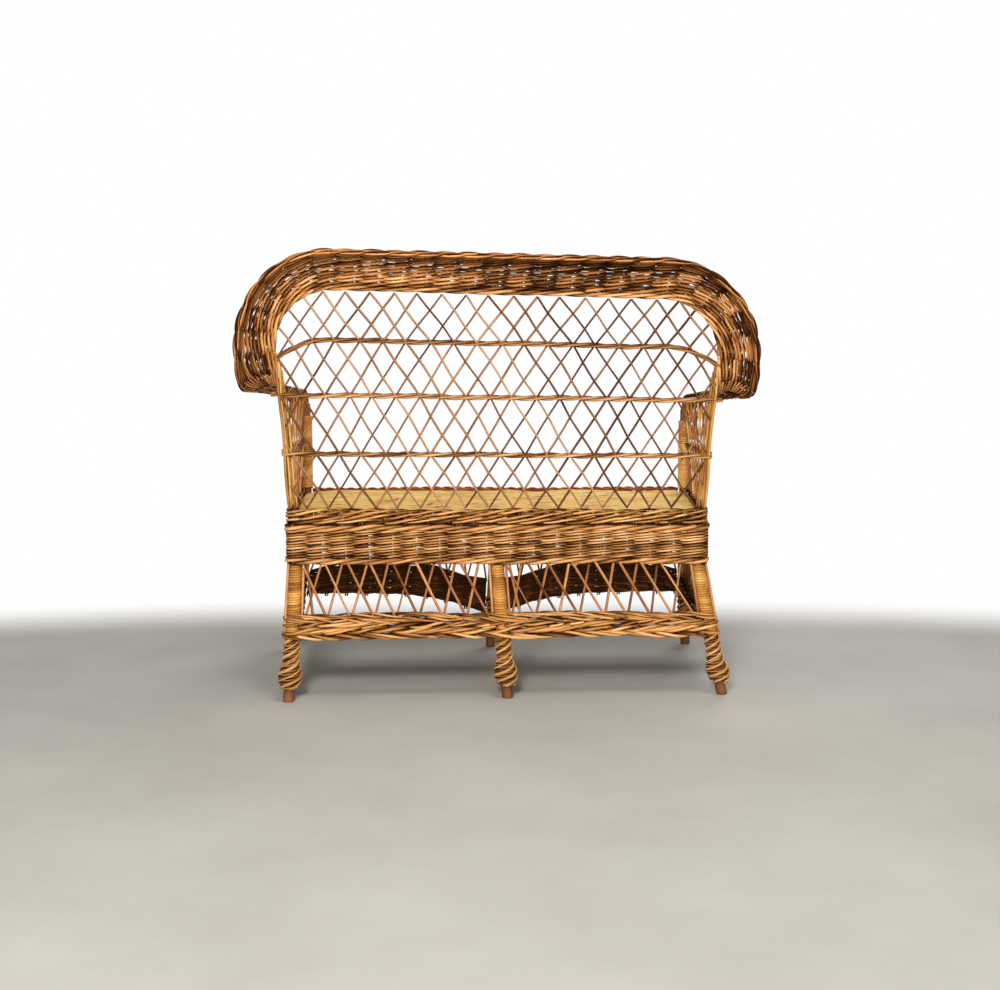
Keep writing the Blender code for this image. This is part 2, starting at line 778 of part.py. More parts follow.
layered("seat_panel", PANEL_LAYERS, RUSH, panel_outline)
ROD_Y = FRONT_Y - GAP - FRONT_ROD_RADIUS
ROD_Z = PANEL_TOP - FRONT_ROD_RADIUS + FRONT_ROD_RISE
ROD_HALF = LEGS["front_left"][1].x - POLE_RADIUS
rope("seat_front_rod", [Vector((-ROD_HALF, ROD_Y, ROD_Z)), Vector((ROD_HALF, ROD_Y, ROD_Z))],
     FRONT_ROD_RADIUS, RED_CANE)


# Plaited stretchers, pierced by the legs
BRAID_LAYERS = [(BRAID_BOTTOM, -BRAID_ROUNDING), (BRAID_BOTTOM + BRAID_ROUNDING, 0.0),
                (BRAID_TOP - BRAID_ROUNDING, 0.0), (BRAID_TOP, -BRAID_ROUNDING)]
BRAID_HALF = BRAID_THICKNESS / 2


def flat_axis(leg, z):
    p = leg_axis(leg, z)
    return Vector((p.x, p.y))


def rear_braid_frame(z):
    a, b = flat_axis("rear_right", z), flat_axis("rear_left", z)
    along = (b - a).normalized()
    return a, b, along, Vector((-along.y, along.x))


def pierced(name, legs, outline):
    ends = (BRAID_BOTTOM, BRAID_TOP)
    rows = [[Vector((p[0], p[1], z)) for p in outline(z, grow)] for z, grow in BRAID_LAYERS]
    holes = [[p for leg in legs for p in flat_ring(leg_axis(leg, z), LEG_FACE, SIDES)] for z in ends]
    flat = [[(p.x, p.y) for p in rows[0]]]
    flat += [[(p.x, p.y) for p in flat_ring(leg_axis(leg, BRAID_BOTTOM), LEG_FACE, SIDES)] for leg in legs]
    return prism(name, flat, rows, holes, WILLOW)


def rear_braid(z, grow):
    a, b, along, out = rear_braid_frame(z)
    wide = BRAID_HALF + grow
    a = a - along * (BRAID_OVERHANG + grow)
    b = b + along * (BRAID_OVERHANG + grow)
    return [a - out * wide, b - out * wide, b + out * wide, a + out * wide]


def side_braid(sign):
    rear_leg = "rear_left" if sign > 0 else "rear_right"
    front_leg = "front_left" if sign > 0 else "front_right"

    def outline(z, grow):
        a, b, rear_along, rear_out = rear_braid_frame(z)
        start, end = flat_axis(rear_leg, z), flat_axis(front_leg, z)
        along = (end - start).normalized()
        left = Vector((-along.y, along.x))
        wide = BRAID_HALF + grow
        clear = BRAID_HALF + REST_GAP
        loop = []
        for across in (wide, -wide):
            line = start + left * across
            reach = (clear + (line - start).dot(rear_out)) / -along.dot(rear_out)
            loop.append(line + along * reach)
        end = end + along * (BRAID_OVERHANG + grow)
        return [loop[0], loop[1], end - left * wide, end + left * wide]

    return outline


pierced("rear_lower_braid", ("rear_left", "rear_centre", "rear_right"), rear_braid)
pierced("left_lower_braid", ("front_left",), side_braid(1))
pierced("right_lower_braid", ("front_right",), side_braid(-1))


# Open canework under the seat
def skirt(name, leg_a, leg_b, columns, y_top_a, y_top_b, x_top_a, x_top_b):
    clear = WRAP_RADIUS + SKIRT_LEG_CLEARANCE
    high, low = BAND_BOTTOM - REST_GAP, BRAID_TOP + REST_GAP
    a, b = leg_axis(leg_a, low), leg_axis(leg_b, low)
    along = (b - a).normalized()
    a, b = a + along * clear, b - along * clear
    d, c = Vector((x_top_a, y_top_a, high)), Vector((x_top_b, y_top_b, high))
    top_along = (c - d).normalized()
    d, c = d + top_along * clear, c - top_along * clear
    width, height, place = patch((a, b, c, d))
    outline = [(0, 0), (width, 0), (width, height), (0, height)]
    holes = diamonds((0, height / 2, height), width / columns, width / 2, columns,
                     inset(outline, NET_FRAME))
    return net(name, outline, holes, place, NET_THICKNESS, LATTICE_CANE)


SKIRT_TOP_Y = REAR_Y - BAND_THICKNESS / 2
for place_name, leg_a, leg_b in (("left", "rear_centre", "rear_left"),
                                 ("right", "rear_right", "rear_centre")):
    skirt("rear_skirt_lattice_" + place_name, leg_a, leg_b, SKIRT_COLUMNS, SKIRT_TOP_Y, SKIRT_TOP_Y,
          LEGS[leg_a][1].x, LEGS[leg_b][1].x)
for place_name, sign in (("left", 1), ("right", -1)):
    middle = BAND_THICKNESS / 2
    skirt(place_name + "_skirt_lattice", "front_" + place_name, "rear_" + place_name,
          SIDE_SKIRT_COLUMNS, LEG_FRONT_Y, LEG_REAR_Y,
          sign * (side_x(LEG_FRONT_Y) - middle), sign * (side_x(LEG_REAR_Y) - middle))


def front_apron(name, leg_a, leg_b, lobe_at_a):
    """Woven panel with a scalloped edge, and open canes between it and the seat."""
    clear = WRAP_RADIUS + SKIRT_LEG_CLEARANCE
    low_clear = BULB_RADIUS / math.cos(math.pi / WINDING_POINTS) + WINDING_DEPTH + SKIRT_LEG_CLEARANCE
    high = BAND_BOTTOM - REST_GAP
    base = APRON_LOBE_Z
    corners = []
    for leg, sign in ((leg_a, 1), (leg_b, -1)):
        corners.append(leg_axis(leg, base) + Vector((sign * low_clear, 0, 0)))
    front = FRONT_Y + BAND_THICKNESS / 2
    for leg, sign in ((leg_b, -1), (leg_a, 1)):
        corners.append(Vector((LEGS[leg][1].x + sign * clear, front, high)))
    width, height, place = patch(corners)
    bottom = []
    for k in range(APRON_STEPS + 1):
        share = k / APRON_STEPS
        from_lobe = share if lobe_at_a else 1 - share
        drop = (APRON_EDGE_Z - APRON_LOBE_Z) * math.exp(-(from_lobe / APRON_LOBE_SHARE) ** APRON_LOBE_POWER)
        bottom.append((width * share, APRON_EDGE_Z - drop - base))
    scale = height / (high - base)
    outline = [(x, y * scale) for x, y in bottom] + [(width, height), (0, height)]
    holes = []
    waves = []
    pitch = width / APRON_COLUMNS
    for k in range(APRON_COLUMNS):
        left, right = pitch * k + CANE_WIDTH, pitch * (k + 1) - CANE_WIDTH
        share = (k + 0.5) / APRON_COLUMNS
        share = share if lobe_at_a else 1 - share
        low = (APRON_TOP_INNER + APRON_TOP_RISE * smooth_step(min(share / 0.45, 1.0))
               - APRON_TOP_FALL * smooth_step(max((share - 0.82) / 0.18, 0.0)) - base) * scale
        up = height - NET_FRAME
        holes.append([(left, low), (right, low), ((left + right) / 2, up - CANE_WIDTH)])
        if k:
            holes.append([(pitch * k, low + CANE_WIDTH * 2), (pitch * (k + 0.5) - CANE_WIDTH, up),
                          (pitch * (k - 0.5) + CANE_WIDTH, up)])
        across = (k + 0.5) * APRON_STEPS / APRON_COLUMNS
        before = outline[int(across)][1]
        edge_y = before + (outline[int(across) + 1][1] - before) * (across - int(across))
        for row in range(APRON_WEAVE_ROWS):
            waves.append(((left + right) / 2, edge_y + (low - edge_y) * (row + 1) / (APRON_WEAVE_ROWS + 1),
                          APRON_WEAVE_DEPTH if (k + row) % 2 else -APRON_WEAVE_DEPTH))
    return net(name, outline, holes, place, APRON_THICKNESS, WILLOW, waves)


front_apron("front_apron_left", "front_centre", "front_left", True)
front_apron("front_apron_right", "front_right", "front_centre", False)


# Path of the roll: up one side of the back, across its top and down the other side
SIDE_START_UP = ARM_UP + ARM_REAR_BEND


def back_path(offset, start_up, corner_steps):
    """Points (x, up) of the back's edge, moved inward by offset, from +X to -X."""
    half = BACK_SIDE_HALF - offset
    top = BACK_UP - offset
    radius = SHOULDER_RADIUS - offset
    quarter = []
    for k in range(corner_steps + 1):
        turn = (math.pi / 2) * k / corner_steps
        quarter.append((half - radius + radius * math.cos(turn), top - radius + radius * math.sin(turn)))
    right = [(-x, up) for x, up in reversed(quarter)]
    return [(half, start_up)] + quarter + right + [(-half, start_up)]


wale_path = [back_point(x, up) for x, up in back_path(0.0, SIDE_START_UP, SHOULDER_STEPS)]
rope("back_top_wale", wale_path, WALE_RADIUS, WILLOW)

# Back lattice, its three twisted bands and the stakes at its rear corners
LATTICE_EDGE = WALE_RADIUS + GAP
edge = back_path(LATTICE_EDGE, SIDE_START_UP, SHOULDER_STEPS)
lattice_outline = [(-BACK_HALF_AT_SEAT, 0.0), (BACK_HALF_AT_SEAT, 0.0),
                   (BACK_HALF_AT_ARM, MIDDLE_BAND_UP)] + edge + [(-BACK_HALF_AT_ARM, MIDDLE_BAND_UP)]
LEVEL_MARKS = (0.0, LOWER_BAND_UP, MIDDLE_BAND_UP, UPPER_BAND_UP, BACK_UP - LATTICE_EDGE)
LEVELS_PER_BAND = 3
back_levels = []
for low, high in zip(LEVEL_MARKS, LEVEL_MARKS[1:]):
    back_levels += [low + (high - low) * k / LEVELS_PER_BAND for k in range(LEVELS_PER_BAND)]
back_levels.append(LEVEL_MARKS[-1])
COLUMNS_EACH_SIDE = int(BACK_SIDE_HALF / CANE_PITCH) + 2
back_holes = diamonds(back_levels, CANE_PITCH, CANE_PHASE, COLUMNS_EACH_SIDE,
                      inset(lattice_outline, NET_FRAME))
net("back_lattice", lattice_outline, back_holes, back_point, NET_THICKNESS, LATTICE_CANE)


def twisted_band(name, length_from, length_to, crossings, half_slot, place, up, finish):
    """Bar that grips the canes at their crossings, with a slot for each crossing."""
    half = NET_THICKNESS / 2 + GAP
    full = half + BACK_BAND_WALL
    outline = [(length_from, -full), (length_to, -full), (length_to, full), (length_from, full)]
    slots = [[(x - half_slot, -half), (x + half_slot, -half), (x + half_slot, half), (x - half_slot, half)]
             for x in crossings]
    ends = (up - BACK_BAND_HEIGHT / 2, up + BACK_BAND_HEIGHT / 2)
    outer = [[place(x, level, w) for x, w in outline] for level in ends]
    inner = [[place(x, level, w) for slot in slots for x, w in slot] for level in ends]
    return prism(name, [outline] + slots, outer, inner, finish)


def half_slot_for(pitch, rise):
    slope = rise / (pitch / 2)
    lean = math.atan(slope)
    return (CANE_WIDTH / 2) / math.sin(lean) + (BACK_BAND_HEIGHT / 2) / slope + REST_GAP


def lattice_half(up):
    if up <= MIDDLE_BAND_UP:
        return BACK_HALF_AT_SEAT + (BACK_HALF_AT_ARM - BACK_HALF_AT_SEAT) * up / MIDDLE_BAND_UP
    return BACK_SIDE_HALF - LATTICE_EDGE


for band_name, up, level in (("lower", LOWER_BAND_UP, 3), ("middle", MIDDLE_BAND_UP, 6),
                             ("upper", UPPER_BAND_UP, 9)):
    rise = (back_levels[level + 1] - back_levels[level - 1]) / 2
    slot = half_slot_for(CANE_PITCH, rise)
    shift = 0.0 if level % 2 == 0 else 0.5
    reach = lattice_half(up) - NET_FRAME - 2 * REST_GAP
    nodes = [CANE_PHASE + (k + 0.5 + shift) * CANE_PITCH
             for k in range(-COLUMNS_EACH_SIDE, COLUMNS_EACH_SIDE)]
    nodes = [x for x in nodes if abs(x) + slot + 2 * REST_GAP < reach]
    twisted_band("back_band_" + band_name, min(nodes) - CANE_PITCH / 4, max(nodes) + CANE_PITCH / 4,
                 nodes, slot, back_point, up, WILLOW)

STAKE_OFFSET = GAP + STAKE_RADIUS
STAKE_TOP = MIDDLE_BAND_UP - STAKE_TOP_BELOW_ARM
for place_name, sign in (("left", 1), ("right", -1)):
    ends = [back_point(sign * (lattice_half(up) + STAKE_OFFSET), up) for up in (0.0, STAKE_TOP)]
    rope(place_name + "_corner_stakes", ends, STAKE_RADIUS, LATTICE_CANE)


# Rolled edge: a woven strip that leaves the back's edge and curls outward
def curl_at(share, curl):
    """Place across the strip, out and back in shares of its width, and the strip's slope there."""
    steps = 40
    out = back = 0.0
    for k in range(steps):
        angle = curl * (share * (k + 0.5) / steps) ** CURL_GROWTH
        out += math.cos(angle) * share / steps
        back += math.sin(angle) * share / steps
    return out, back, curl * share ** CURL_GROWTH


def roll_loop(centre, out, back, width, curl, profile):
    side_a, side_b = [], []
    for along, half in profile:
        go_out, go_back, angle = curl_at(max(along, 0.0) / width, curl)
        middle = centre + out * (width * go_out + min(along, 0.0)) + back * (width * go_back)
        normal = back * math.cos(angle) - out * math.sin(angle)
        side_a.append(middle + normal * half)
        side_b.append(middle - normal * half)
    return side_a + side_b[::-1]


HALF_ROLL = ROLL_THICKNESS / 2


def roll_profile(width, steps=3):
    start = WALE_RADIUS + GAP
    rows = [(start, HALF_ROLL)]
    border = width - 2 * BORDER_RADIUS
    for k in range(1, steps + 1):
        rows.append((start + (border - start) * k / steps, HALF_ROLL))
    rows += [(width - 1.4 * BORDER_RADIUS, BORDER_RADIUS), (width - 0.5 * BORDER_RADIUS, BORDER_RADIUS),
             (width, HALF_ROLL)]
    return rows


def ridged_profile(width):
    """The strip's section with one ridge for each row of its weave."""
    pitch = (ROLL_LAST_ROW - ROLL_FIRST_ROW) * width / (ROLL_ROWS - 1)
    rows = [(WALE_RADIUS + GAP, ROLL_ROW_GROOVE)]
    for k in range(ROLL_ROWS):
        along = ROLL_FIRST_ROW * width + k * pitch
        rows += [(along, ROLL_ROW_RIDGE), (along + pitch / 2, ROLL_ROW_GROOVE)]
    return rows + [(width - 0.7 * BORDER_RADIUS, BORDER_RADIUS), (width, HALF_ROLL)]


def arm_profile(width):
    """The arm's wale and the strip that leaves it, with a few ridges along the strip."""
    start = 2 * WALE_RADIUS
    pitch = (width - 1.4 * BORDER_RADIUS - start) / ARM_ROLL_ROWS
    rows = [(-WALE_RADIUS, WALE_RADIUS / 2), (0.0, WALE_RADIUS), (WALE_RADIUS, WALE_RADIUS / 2 + GAP),
            (start, ROLL_ROW_GROOVE)]
    for k in range(ARM_ROLL_ROWS):
        along = start + k * pitch
        rows += [(along + pitch / 2, ROLL_ROW_RIDGE), (along + pitch, ROLL_ROW_GROOVE)]
    return rows + [(width - 0.7 * BORDER_RADIUS, BORDER_RADIUS), (width, HALF_ROLL)]


BACK_CURL = math.radians(BACK_CURL_DEGREES)
SIDE_CURL = math.radians(SIDE_CURL_DEGREES)
ARM_CURL = math.radians(ARM_CURL_DEGREES)
ARM_TILT = math.radians(ARM_TILT_DEGREES)


def back_station(x, up, normal_x, normal_up):
    centre = back_point(x, up)
    ahead = back_point(x + normal_x * GAP, up + normal_up * GAP)
    out = (ahead - centre).normalized()
    return centre, out, BACK_OUT


SHOULDER_X = BACK_SIDE_HALF - SHOULDER_RADIUS
SHOULDER_UP = BACK_UP - SHOULDER_RADIUS

top_loops = []
for x in (SHOULDER_X - SEAM, SEAM - SHOULDER_X):
    top_loops.append(roll_loop(*back_station(x, BACK_UP, 0, 1), ROLL_WIDTH, BACK_CURL,
                               ridged_profile(ROLL_WIDTH)))
sweep("top_roll", top_loops, WILLOW, False)

for place_name, sign in (("left", 1), ("right", -1)):
    loops = []
    for k in range(SHOULDER_STEPS + 1):
        turn = (math.pi / 2) * (1 - k / SHOULDER_STEPS)
        curl = BACK_CURL + (SIDE_CURL - BACK_CURL) * smooth_step(k / SHOULDER_STEPS)
        nx, nu = sign * math.cos(turn), math.sin(turn)
        loops.append(roll_loop(*back_station(sign * SHOULDER_X + SHOULDER_RADIUS * nx,
                                             SHOULDER_UP + SHOULDER_RADIUS * nu, nx, nu),
                               ROLL_WIDTH, curl, roll_profile(ROLL_WIDTH)))
    loops.append(roll_loop(*back_station(sign * BACK_SIDE_HALF, SIDE_START_UP + SEAM, sign, 0),
                           ROLL_WIDTH, SIDE_CURL, roll_profile(ROLL_WIDTH)))
    sweep(place_name + "_shoulder_roll", loops, WILLOW, False)


def bend(a, corner, b, steps):
    return [a * (1 - t) ** 2 + corner * (2 * t * (1 - t)) + b * t ** 2
            for t in (k / steps for k in range(steps + 1))]


def arm_geometry(sign):
    """Points of the arm's edge with the way out and the way back at each one."""
    start = back_point(sign * BACK_SIDE_HALF, SIDE_START_UP - SEAM)
    corner = arm_rear_corner(sign)
    front = arm_front_corner(sign)
    along = (front - corner).normalized()
    after = corner + along * ARM_REAR_BEND
    before = front - along * ARM_FRONT_BEND
    below = front - Vector((0, 0, ARM_FRONT_BEND))
    end = front - Vector((0, 0, ARM_END_LENGTH))
    rear_points = bend(start, corner, after, ARM_BEND_STEPS)
    front_points = bend(before, front, below, ARM_FRONT_STEPS)
    rows = []
    for k, p in enumerate(rear_points):
        share = smooth_step(k / ARM_BEND_STEPS)
        rows.append((p, ARM_TILT * share, SIDE_CURL + (ARM_CURL - SIDE_CURL) * share,
                     ROLL_WIDTH + (ARM_ROLL_WIDTH - ROLL_WIDTH) * share))
    for k, p in enumerate(front_points + [end]):
        fall = k / (ARM_FRONT_STEPS + 1)
        width = ARM_ROLL_WIDTH + (ARM_END_WIDTH - ARM_ROLL_WIDTH) * (0.25 + 0.75 * smooth_step(fall))
        rows.append((p, ARM_TILT, ARM_CURL, width))
    return rows, after, before, along


def arm_loops(sign, rows):
    """The strip leaves the arm's edge sideways and a little up, and curls over the outside."""
    path = [row[0] for row in rows]
    side = Vector((sign, 0, 0))
    loops = []
    for k, (centre, tilt, curl, width) in enumerate(rows):
        tangent = (path[min(k + 1, len(path) - 1)] - path[max(k - 1, 0)]).normalized()
        under = Vector((0, -tangent.z, tangent.y))
        out = side * math.cos(tilt) - under * math.sin(tilt)
        out = (out - tangent * out.dot(tangent)).normalized()
        back = side * math.sin(tilt) + under * math.cos(tilt)
        back = back - tangent * back.dot(tangent)
        back = (back - out * back.dot(out)).normalized()
        loops.append(roll_loop(centre, out, back, width, curl, arm_profile(width)))
    return loops


ARM_LEVELS = 6
for place_name, sign in (("left", 1), ("right", -1)):
    rows, after, before, along = arm_geometry(sign)
    sweep(place_name + "_arm_roll", arm_loops(sign, rows), WILLOW, False)
    hang = Vector((0, 0, WALE_RADIUS + REST_GAP))
    middle = PLAIT_THICKNESS / 2
    rear_y = REAR_Y - PLAIT_THICKNESS - STAKE_RADIUS
    front_y = LEG_FRONT_Y + WRAP_RADIUS + SKIRT_LEG_CLEARANCE
    floor_z = PLAIT_TOP + GAP
    a = Vector((sign * (side_x(front_y) - middle), front_y, floor_z))
    b = Vector((sign * (side_x(rear_y) - middle), rear_y, floor_z))
    width, height, place = patch((a, b, after - hang, before - hang))
    outline = [(0, 0), (width, 0), (width, height), (0, height)]
    levels = [height * k / ARM_LEVELS for k in range(ARM_LEVELS + 1)]
    columns = round(width / ARM_CANE_PITCH)
    pitch = width / columns
    holes = diamonds(levels, pitch, width / 2, columns, inset(outline, NET_FRAME))
    net(place_name + "_arm_lattice", outline, holes, place, NET_THICKNESS, LATTICE_CANE)
    slot = half_slot_for(pitch, height / ARM_LEVELS)
    nodes = [width / 2 + k * pitch for k in range(-columns, columns)]
    nodes = [x for x in nodes if pitch / 3 < x < width - pitch / 3]
    twisted_band(place_name + "_arm_band", min(nodes) - pitch / 4, max(nodes) + pitch / 4, nodes, slot,
                 place, height / 2, WILLOW)

# Stand the settee on the middle of its own footprint
bpy.context.view_layer.update()
lows = Vector((1e9, 1e9, 1e9))
highs = Vector((-1e9, -1e9, -1e9))
for made in root.children:
    if made.hide_render:
        continue
    for corner in made.bound_box:
        for axis in range(3):
            lows[axis] = min(lows[axis], made.location[axis] + corner[axis])
            highs[axis] = max(highs[axis], made.location[axis] + corner[axis])
root.location = (-(lows.x + highs.x) / 2, -(lows.y + highs.y) / 2, -lows.z)
bpy.context.view_layer.update()
print("overall size, m:", [round(v, 4) for v in highs - lows])
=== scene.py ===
import math

import bpy
import numpy as np
from mathutils import Matrix, Vector


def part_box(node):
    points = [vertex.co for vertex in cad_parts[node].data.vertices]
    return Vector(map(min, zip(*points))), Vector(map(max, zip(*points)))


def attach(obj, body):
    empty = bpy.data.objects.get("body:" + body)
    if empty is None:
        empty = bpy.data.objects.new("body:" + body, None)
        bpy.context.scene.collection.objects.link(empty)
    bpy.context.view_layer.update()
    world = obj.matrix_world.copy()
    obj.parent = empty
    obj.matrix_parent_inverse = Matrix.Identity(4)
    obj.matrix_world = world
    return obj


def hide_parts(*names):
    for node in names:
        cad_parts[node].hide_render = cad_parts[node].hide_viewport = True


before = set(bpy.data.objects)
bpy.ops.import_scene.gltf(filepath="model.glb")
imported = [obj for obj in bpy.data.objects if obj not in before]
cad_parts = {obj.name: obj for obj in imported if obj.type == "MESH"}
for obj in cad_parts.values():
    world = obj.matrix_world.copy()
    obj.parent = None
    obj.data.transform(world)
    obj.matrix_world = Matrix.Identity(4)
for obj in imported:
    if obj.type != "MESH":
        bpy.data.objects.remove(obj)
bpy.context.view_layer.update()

scene = bpy.context.scene
scene.view_settings.view_transform = "Standard"

# Sizes of the settee, in metres, before it is stood on the middle of its footprint
REAR_HALF, FRONT_HALF, SEAT_DEPTH = 0.454, 0.491, 0.493
REAR_Y, FRONT_Y = SEAT_DEPTH / 2, -SEAT_DEPTH / 2
GAP, SEAM = 0.0003, 0.0015
BAND_BOTTOM, BAND_TOP, BAND_THICK = 0.286, 0.372, 0.013
PLAIT_BOTTOM, PLAIT_TOP, PLAIT_THICK = 0.3723, 0.4063, 0.020
PANEL_BOTTOM, PANEL_TOP = 0.3725, 0.3945
BRAID_BOTTOM, BRAID_TOP = 0.127, 0.182
POLE, PEG, PEG_HEIGHT = 0.0105, 0.0115, 0.025
BULB, BULB_HEIGHT = 0.0202, 0.049
LEG_INSET = BAND_THICK + GAP + POLE
RAIL_RADIUS, RAIL_Z, SIDE_RAIL_Z, CENTRE_RAIL_X = 0.010, 0.362, 0.338, 0.034
FOOT_TWIST = math.radians(3.4)
PITCH, ARM_PITCH, STAKE_PITCH = 0.0488, 0.058, 0.0495
STAKE_SPREAD = (-0.0046, 0.0, 0.0046)
CANE_PHASE = -0.008
LEAN = math.radians(9.0)
SKEW = 0.026
LOWER_UP, MIDDLE_UP, UPPER_UP, BACK_UP = 0.1158, 0.2393, 0.3527, 0.4575
SIDE_HALF, SHOULDER = 0.461, 0.124
HALF_AT_SEAT, HALF_AT_ARM = 0.434, 0.450
ARM_UP = 0.255
ROLL_WIDTH, ARM_WIDTH, ARM_END_WIDTH = 0.110, 0.061, 0.034
ARM_REAR_BEND, ARM_FRONT_BEND, ARM_END = 0.074, 0.050, 0.105
ARM_DROP = 0.030
WALE = 0.0065
SIDE_START = ARM_UP + ARM_REAR_BEND
SIDES = (("left", 1), ("right", -1))
FULL_TURN = 2 * math.pi

band_low, band_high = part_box("rear_seat_band")
SHIFT = np.array([(band_low.x + band_high.x) / 2, band_high.y - (REAR_Y + 0.004), 0.0])


def vec(x, y, z):
    """Rows of points from three columns or single values."""
    return np.stack(np.broadcast_arrays(np.asarray(x, float), y, z), axis=-1)


def unit(v):
    return v / np.maximum(np.linalg.norm(v, axis=-1, keepdims=True), 1e-12)


def ease(t):
    t = np.clip(t, 0.0, 1.0)
    return t * t * (3 - 2 * t)


def blend(a, b, t):
    return a + (b - a) * np.asarray(t)[..., None]


def bend_line(a, corner, b, t):
    """A point on the curve from a to b that a corner pulls to itself."""
    return a * (1 - t) ** 2 + corner * 2 * t * (1 - t) + b * t ** 2


def run_along(points):
    """Running length along a line of points."""
    return np.concatenate([[0.0], np.cumsum(np.linalg.norm(np.diff(points, axis=0), axis=1))])


def lot(number):
    """A share between 0 and 1 that looks drawn by lot, the same for the same number."""
    return np.abs(np.modf(np.sin(np.asarray(number, float) * 12.9898) * 43758.5453)[0])


def wander(s, number, size):
    """Slow handmade wavering along a strand, the same on both sides of a seam."""
    return size * (0.6 * np.sin(s * 17.0 + number * 1.9) + 0.4 * np.sin(s * 43.0 + number * 4.7))


def make_mesh(name, points, faces, smooth, **shades):
    """A mesh in the shared frame, with a value at each point for every name in shades."""
    made = bpy.data.meshes.new(name)
    made.from_pydata((points + SHIFT).tolist(), [], faces)
    for title, values in shades.items():
        held = made.attributes.new(title, "FLOAT", "POINT")
        held.data.foreach_set("value", values.astype(np.float32))
    made.polygons.foreach_set("use_smooth", smooth)
    made.update()
    return made


def place_piece(name, mesh, finish, node):
    material, slot = finish
    piece = bpy.data.objects.new(name, mesh)
    mesh.materials.append(material)
    scene.collection.objects.link(piece)
    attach(piece, "root")
    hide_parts(node)


class Bundle:
    """Canes of one piece, each a closed tube, gathered into one mesh."""

    def __init__(self, seed):
        self.chance = np.random.default_rng(seed)
        self.points, self.quads, self.caps = [], [], []
        self.quad_uv, self.cap_uv = [], []
        self.tones, self.hollows = [], []
        self.total = 0

    def cane(self, path, radius, lean, sides=6, squash=1.0, tone=None, hollow=0.0, level=False, run=None):
        """Add one cane. lean is the way its section faces; the hollow shade value is how deep it lies in the
        weave, for painted shade there.
        """
        path = np.asarray(path, float)
        count = len(path)
        tangent = unit(np.gradient(path, axis=0))
        across = unit(np.cross(np.broadcast_to(lean, path.shape), tangent))
        face = np.cross(tangent, across)
        if level:
            across, face = np.tile([1.0, 0, 0], (count, 1)), np.tile([0, 1.0, 0], (count, 1))
        size = np.array(np.broadcast_to(radius, count), float)
        turn = FULL_TURN * (np.arange(sides) + 0.5) / sides
        ring = (across[:, None, :] * np.cos(turn)[None, :, None]
                + face[:, None, :] * (squash * np.sin(turn))[None, :, None])
        self.points.append((path[:, None, :] + ring * size[:, None, None]).reshape(-1, 3))
        row = np.arange(count - 1)[:, None] * sides
        col = np.arange(sides)[None, :]
        nxt = (col + 1) % sides
        quads = np.stack([row + col, row + nxt, row + sides + nxt, row + sides + col], axis=-1)
        self.quads.append(quads.reshape(-1, 4) + self.total)
        start = self.chance.random() * 7.0
        run = start + run_along(path) if run is None else run
        u0, u1 = np.repeat(run[:-1], sides), np.repeat(run[1:], sides)
        v0 = np.tile(np.arange(sides) / sides, count - 1)
        v1 = v0 + 1.0 / sides
        self.quad_uv.append(np.stack([u0, v0, u0, v1, u1, v1, u1, v0], axis=-1).reshape(-1, 2))
        ends = np.arange(sides) + self.total
        self.caps += [ends[::-1], ends + (count - 1) * sides]
        self.cap_uv.append(np.full((2 * sides, 2), start))
        tone = self.chance.random() if tone is None else tone
        self.tones.append(np.repeat(np.broadcast_to(tone, count), sides))
        self.hollows.append(np.repeat(np.broadcast_to(hollow, count), sides))
        self.total += count * sides

    def place(self, node, ending, finish):
        """Gather the canes into one piece, in place of the node."""
        name = node + "_" + ending
        quads, caps = np.concatenate(self.quads).tolist(), [cap.tolist() for cap in self.caps]
        mesh = make_mesh(name, np.concatenate(self.points), quads + caps,
                         [True] * len(quads) + [False] * len(caps),
                         tone=np.concatenate(self.tones), hollow=np.concatenate(self.hollows))
        uv = mesh.uv_layers.new(name="cane")
        uv.data.foreach_set("uv", np.concatenate(self.quad_uv + self.cap_uv).astype(np.float32).ravel())
        place_piece(name, mesh, finish, node)


# Finishes
BUMP_DEPTH = 0.0006


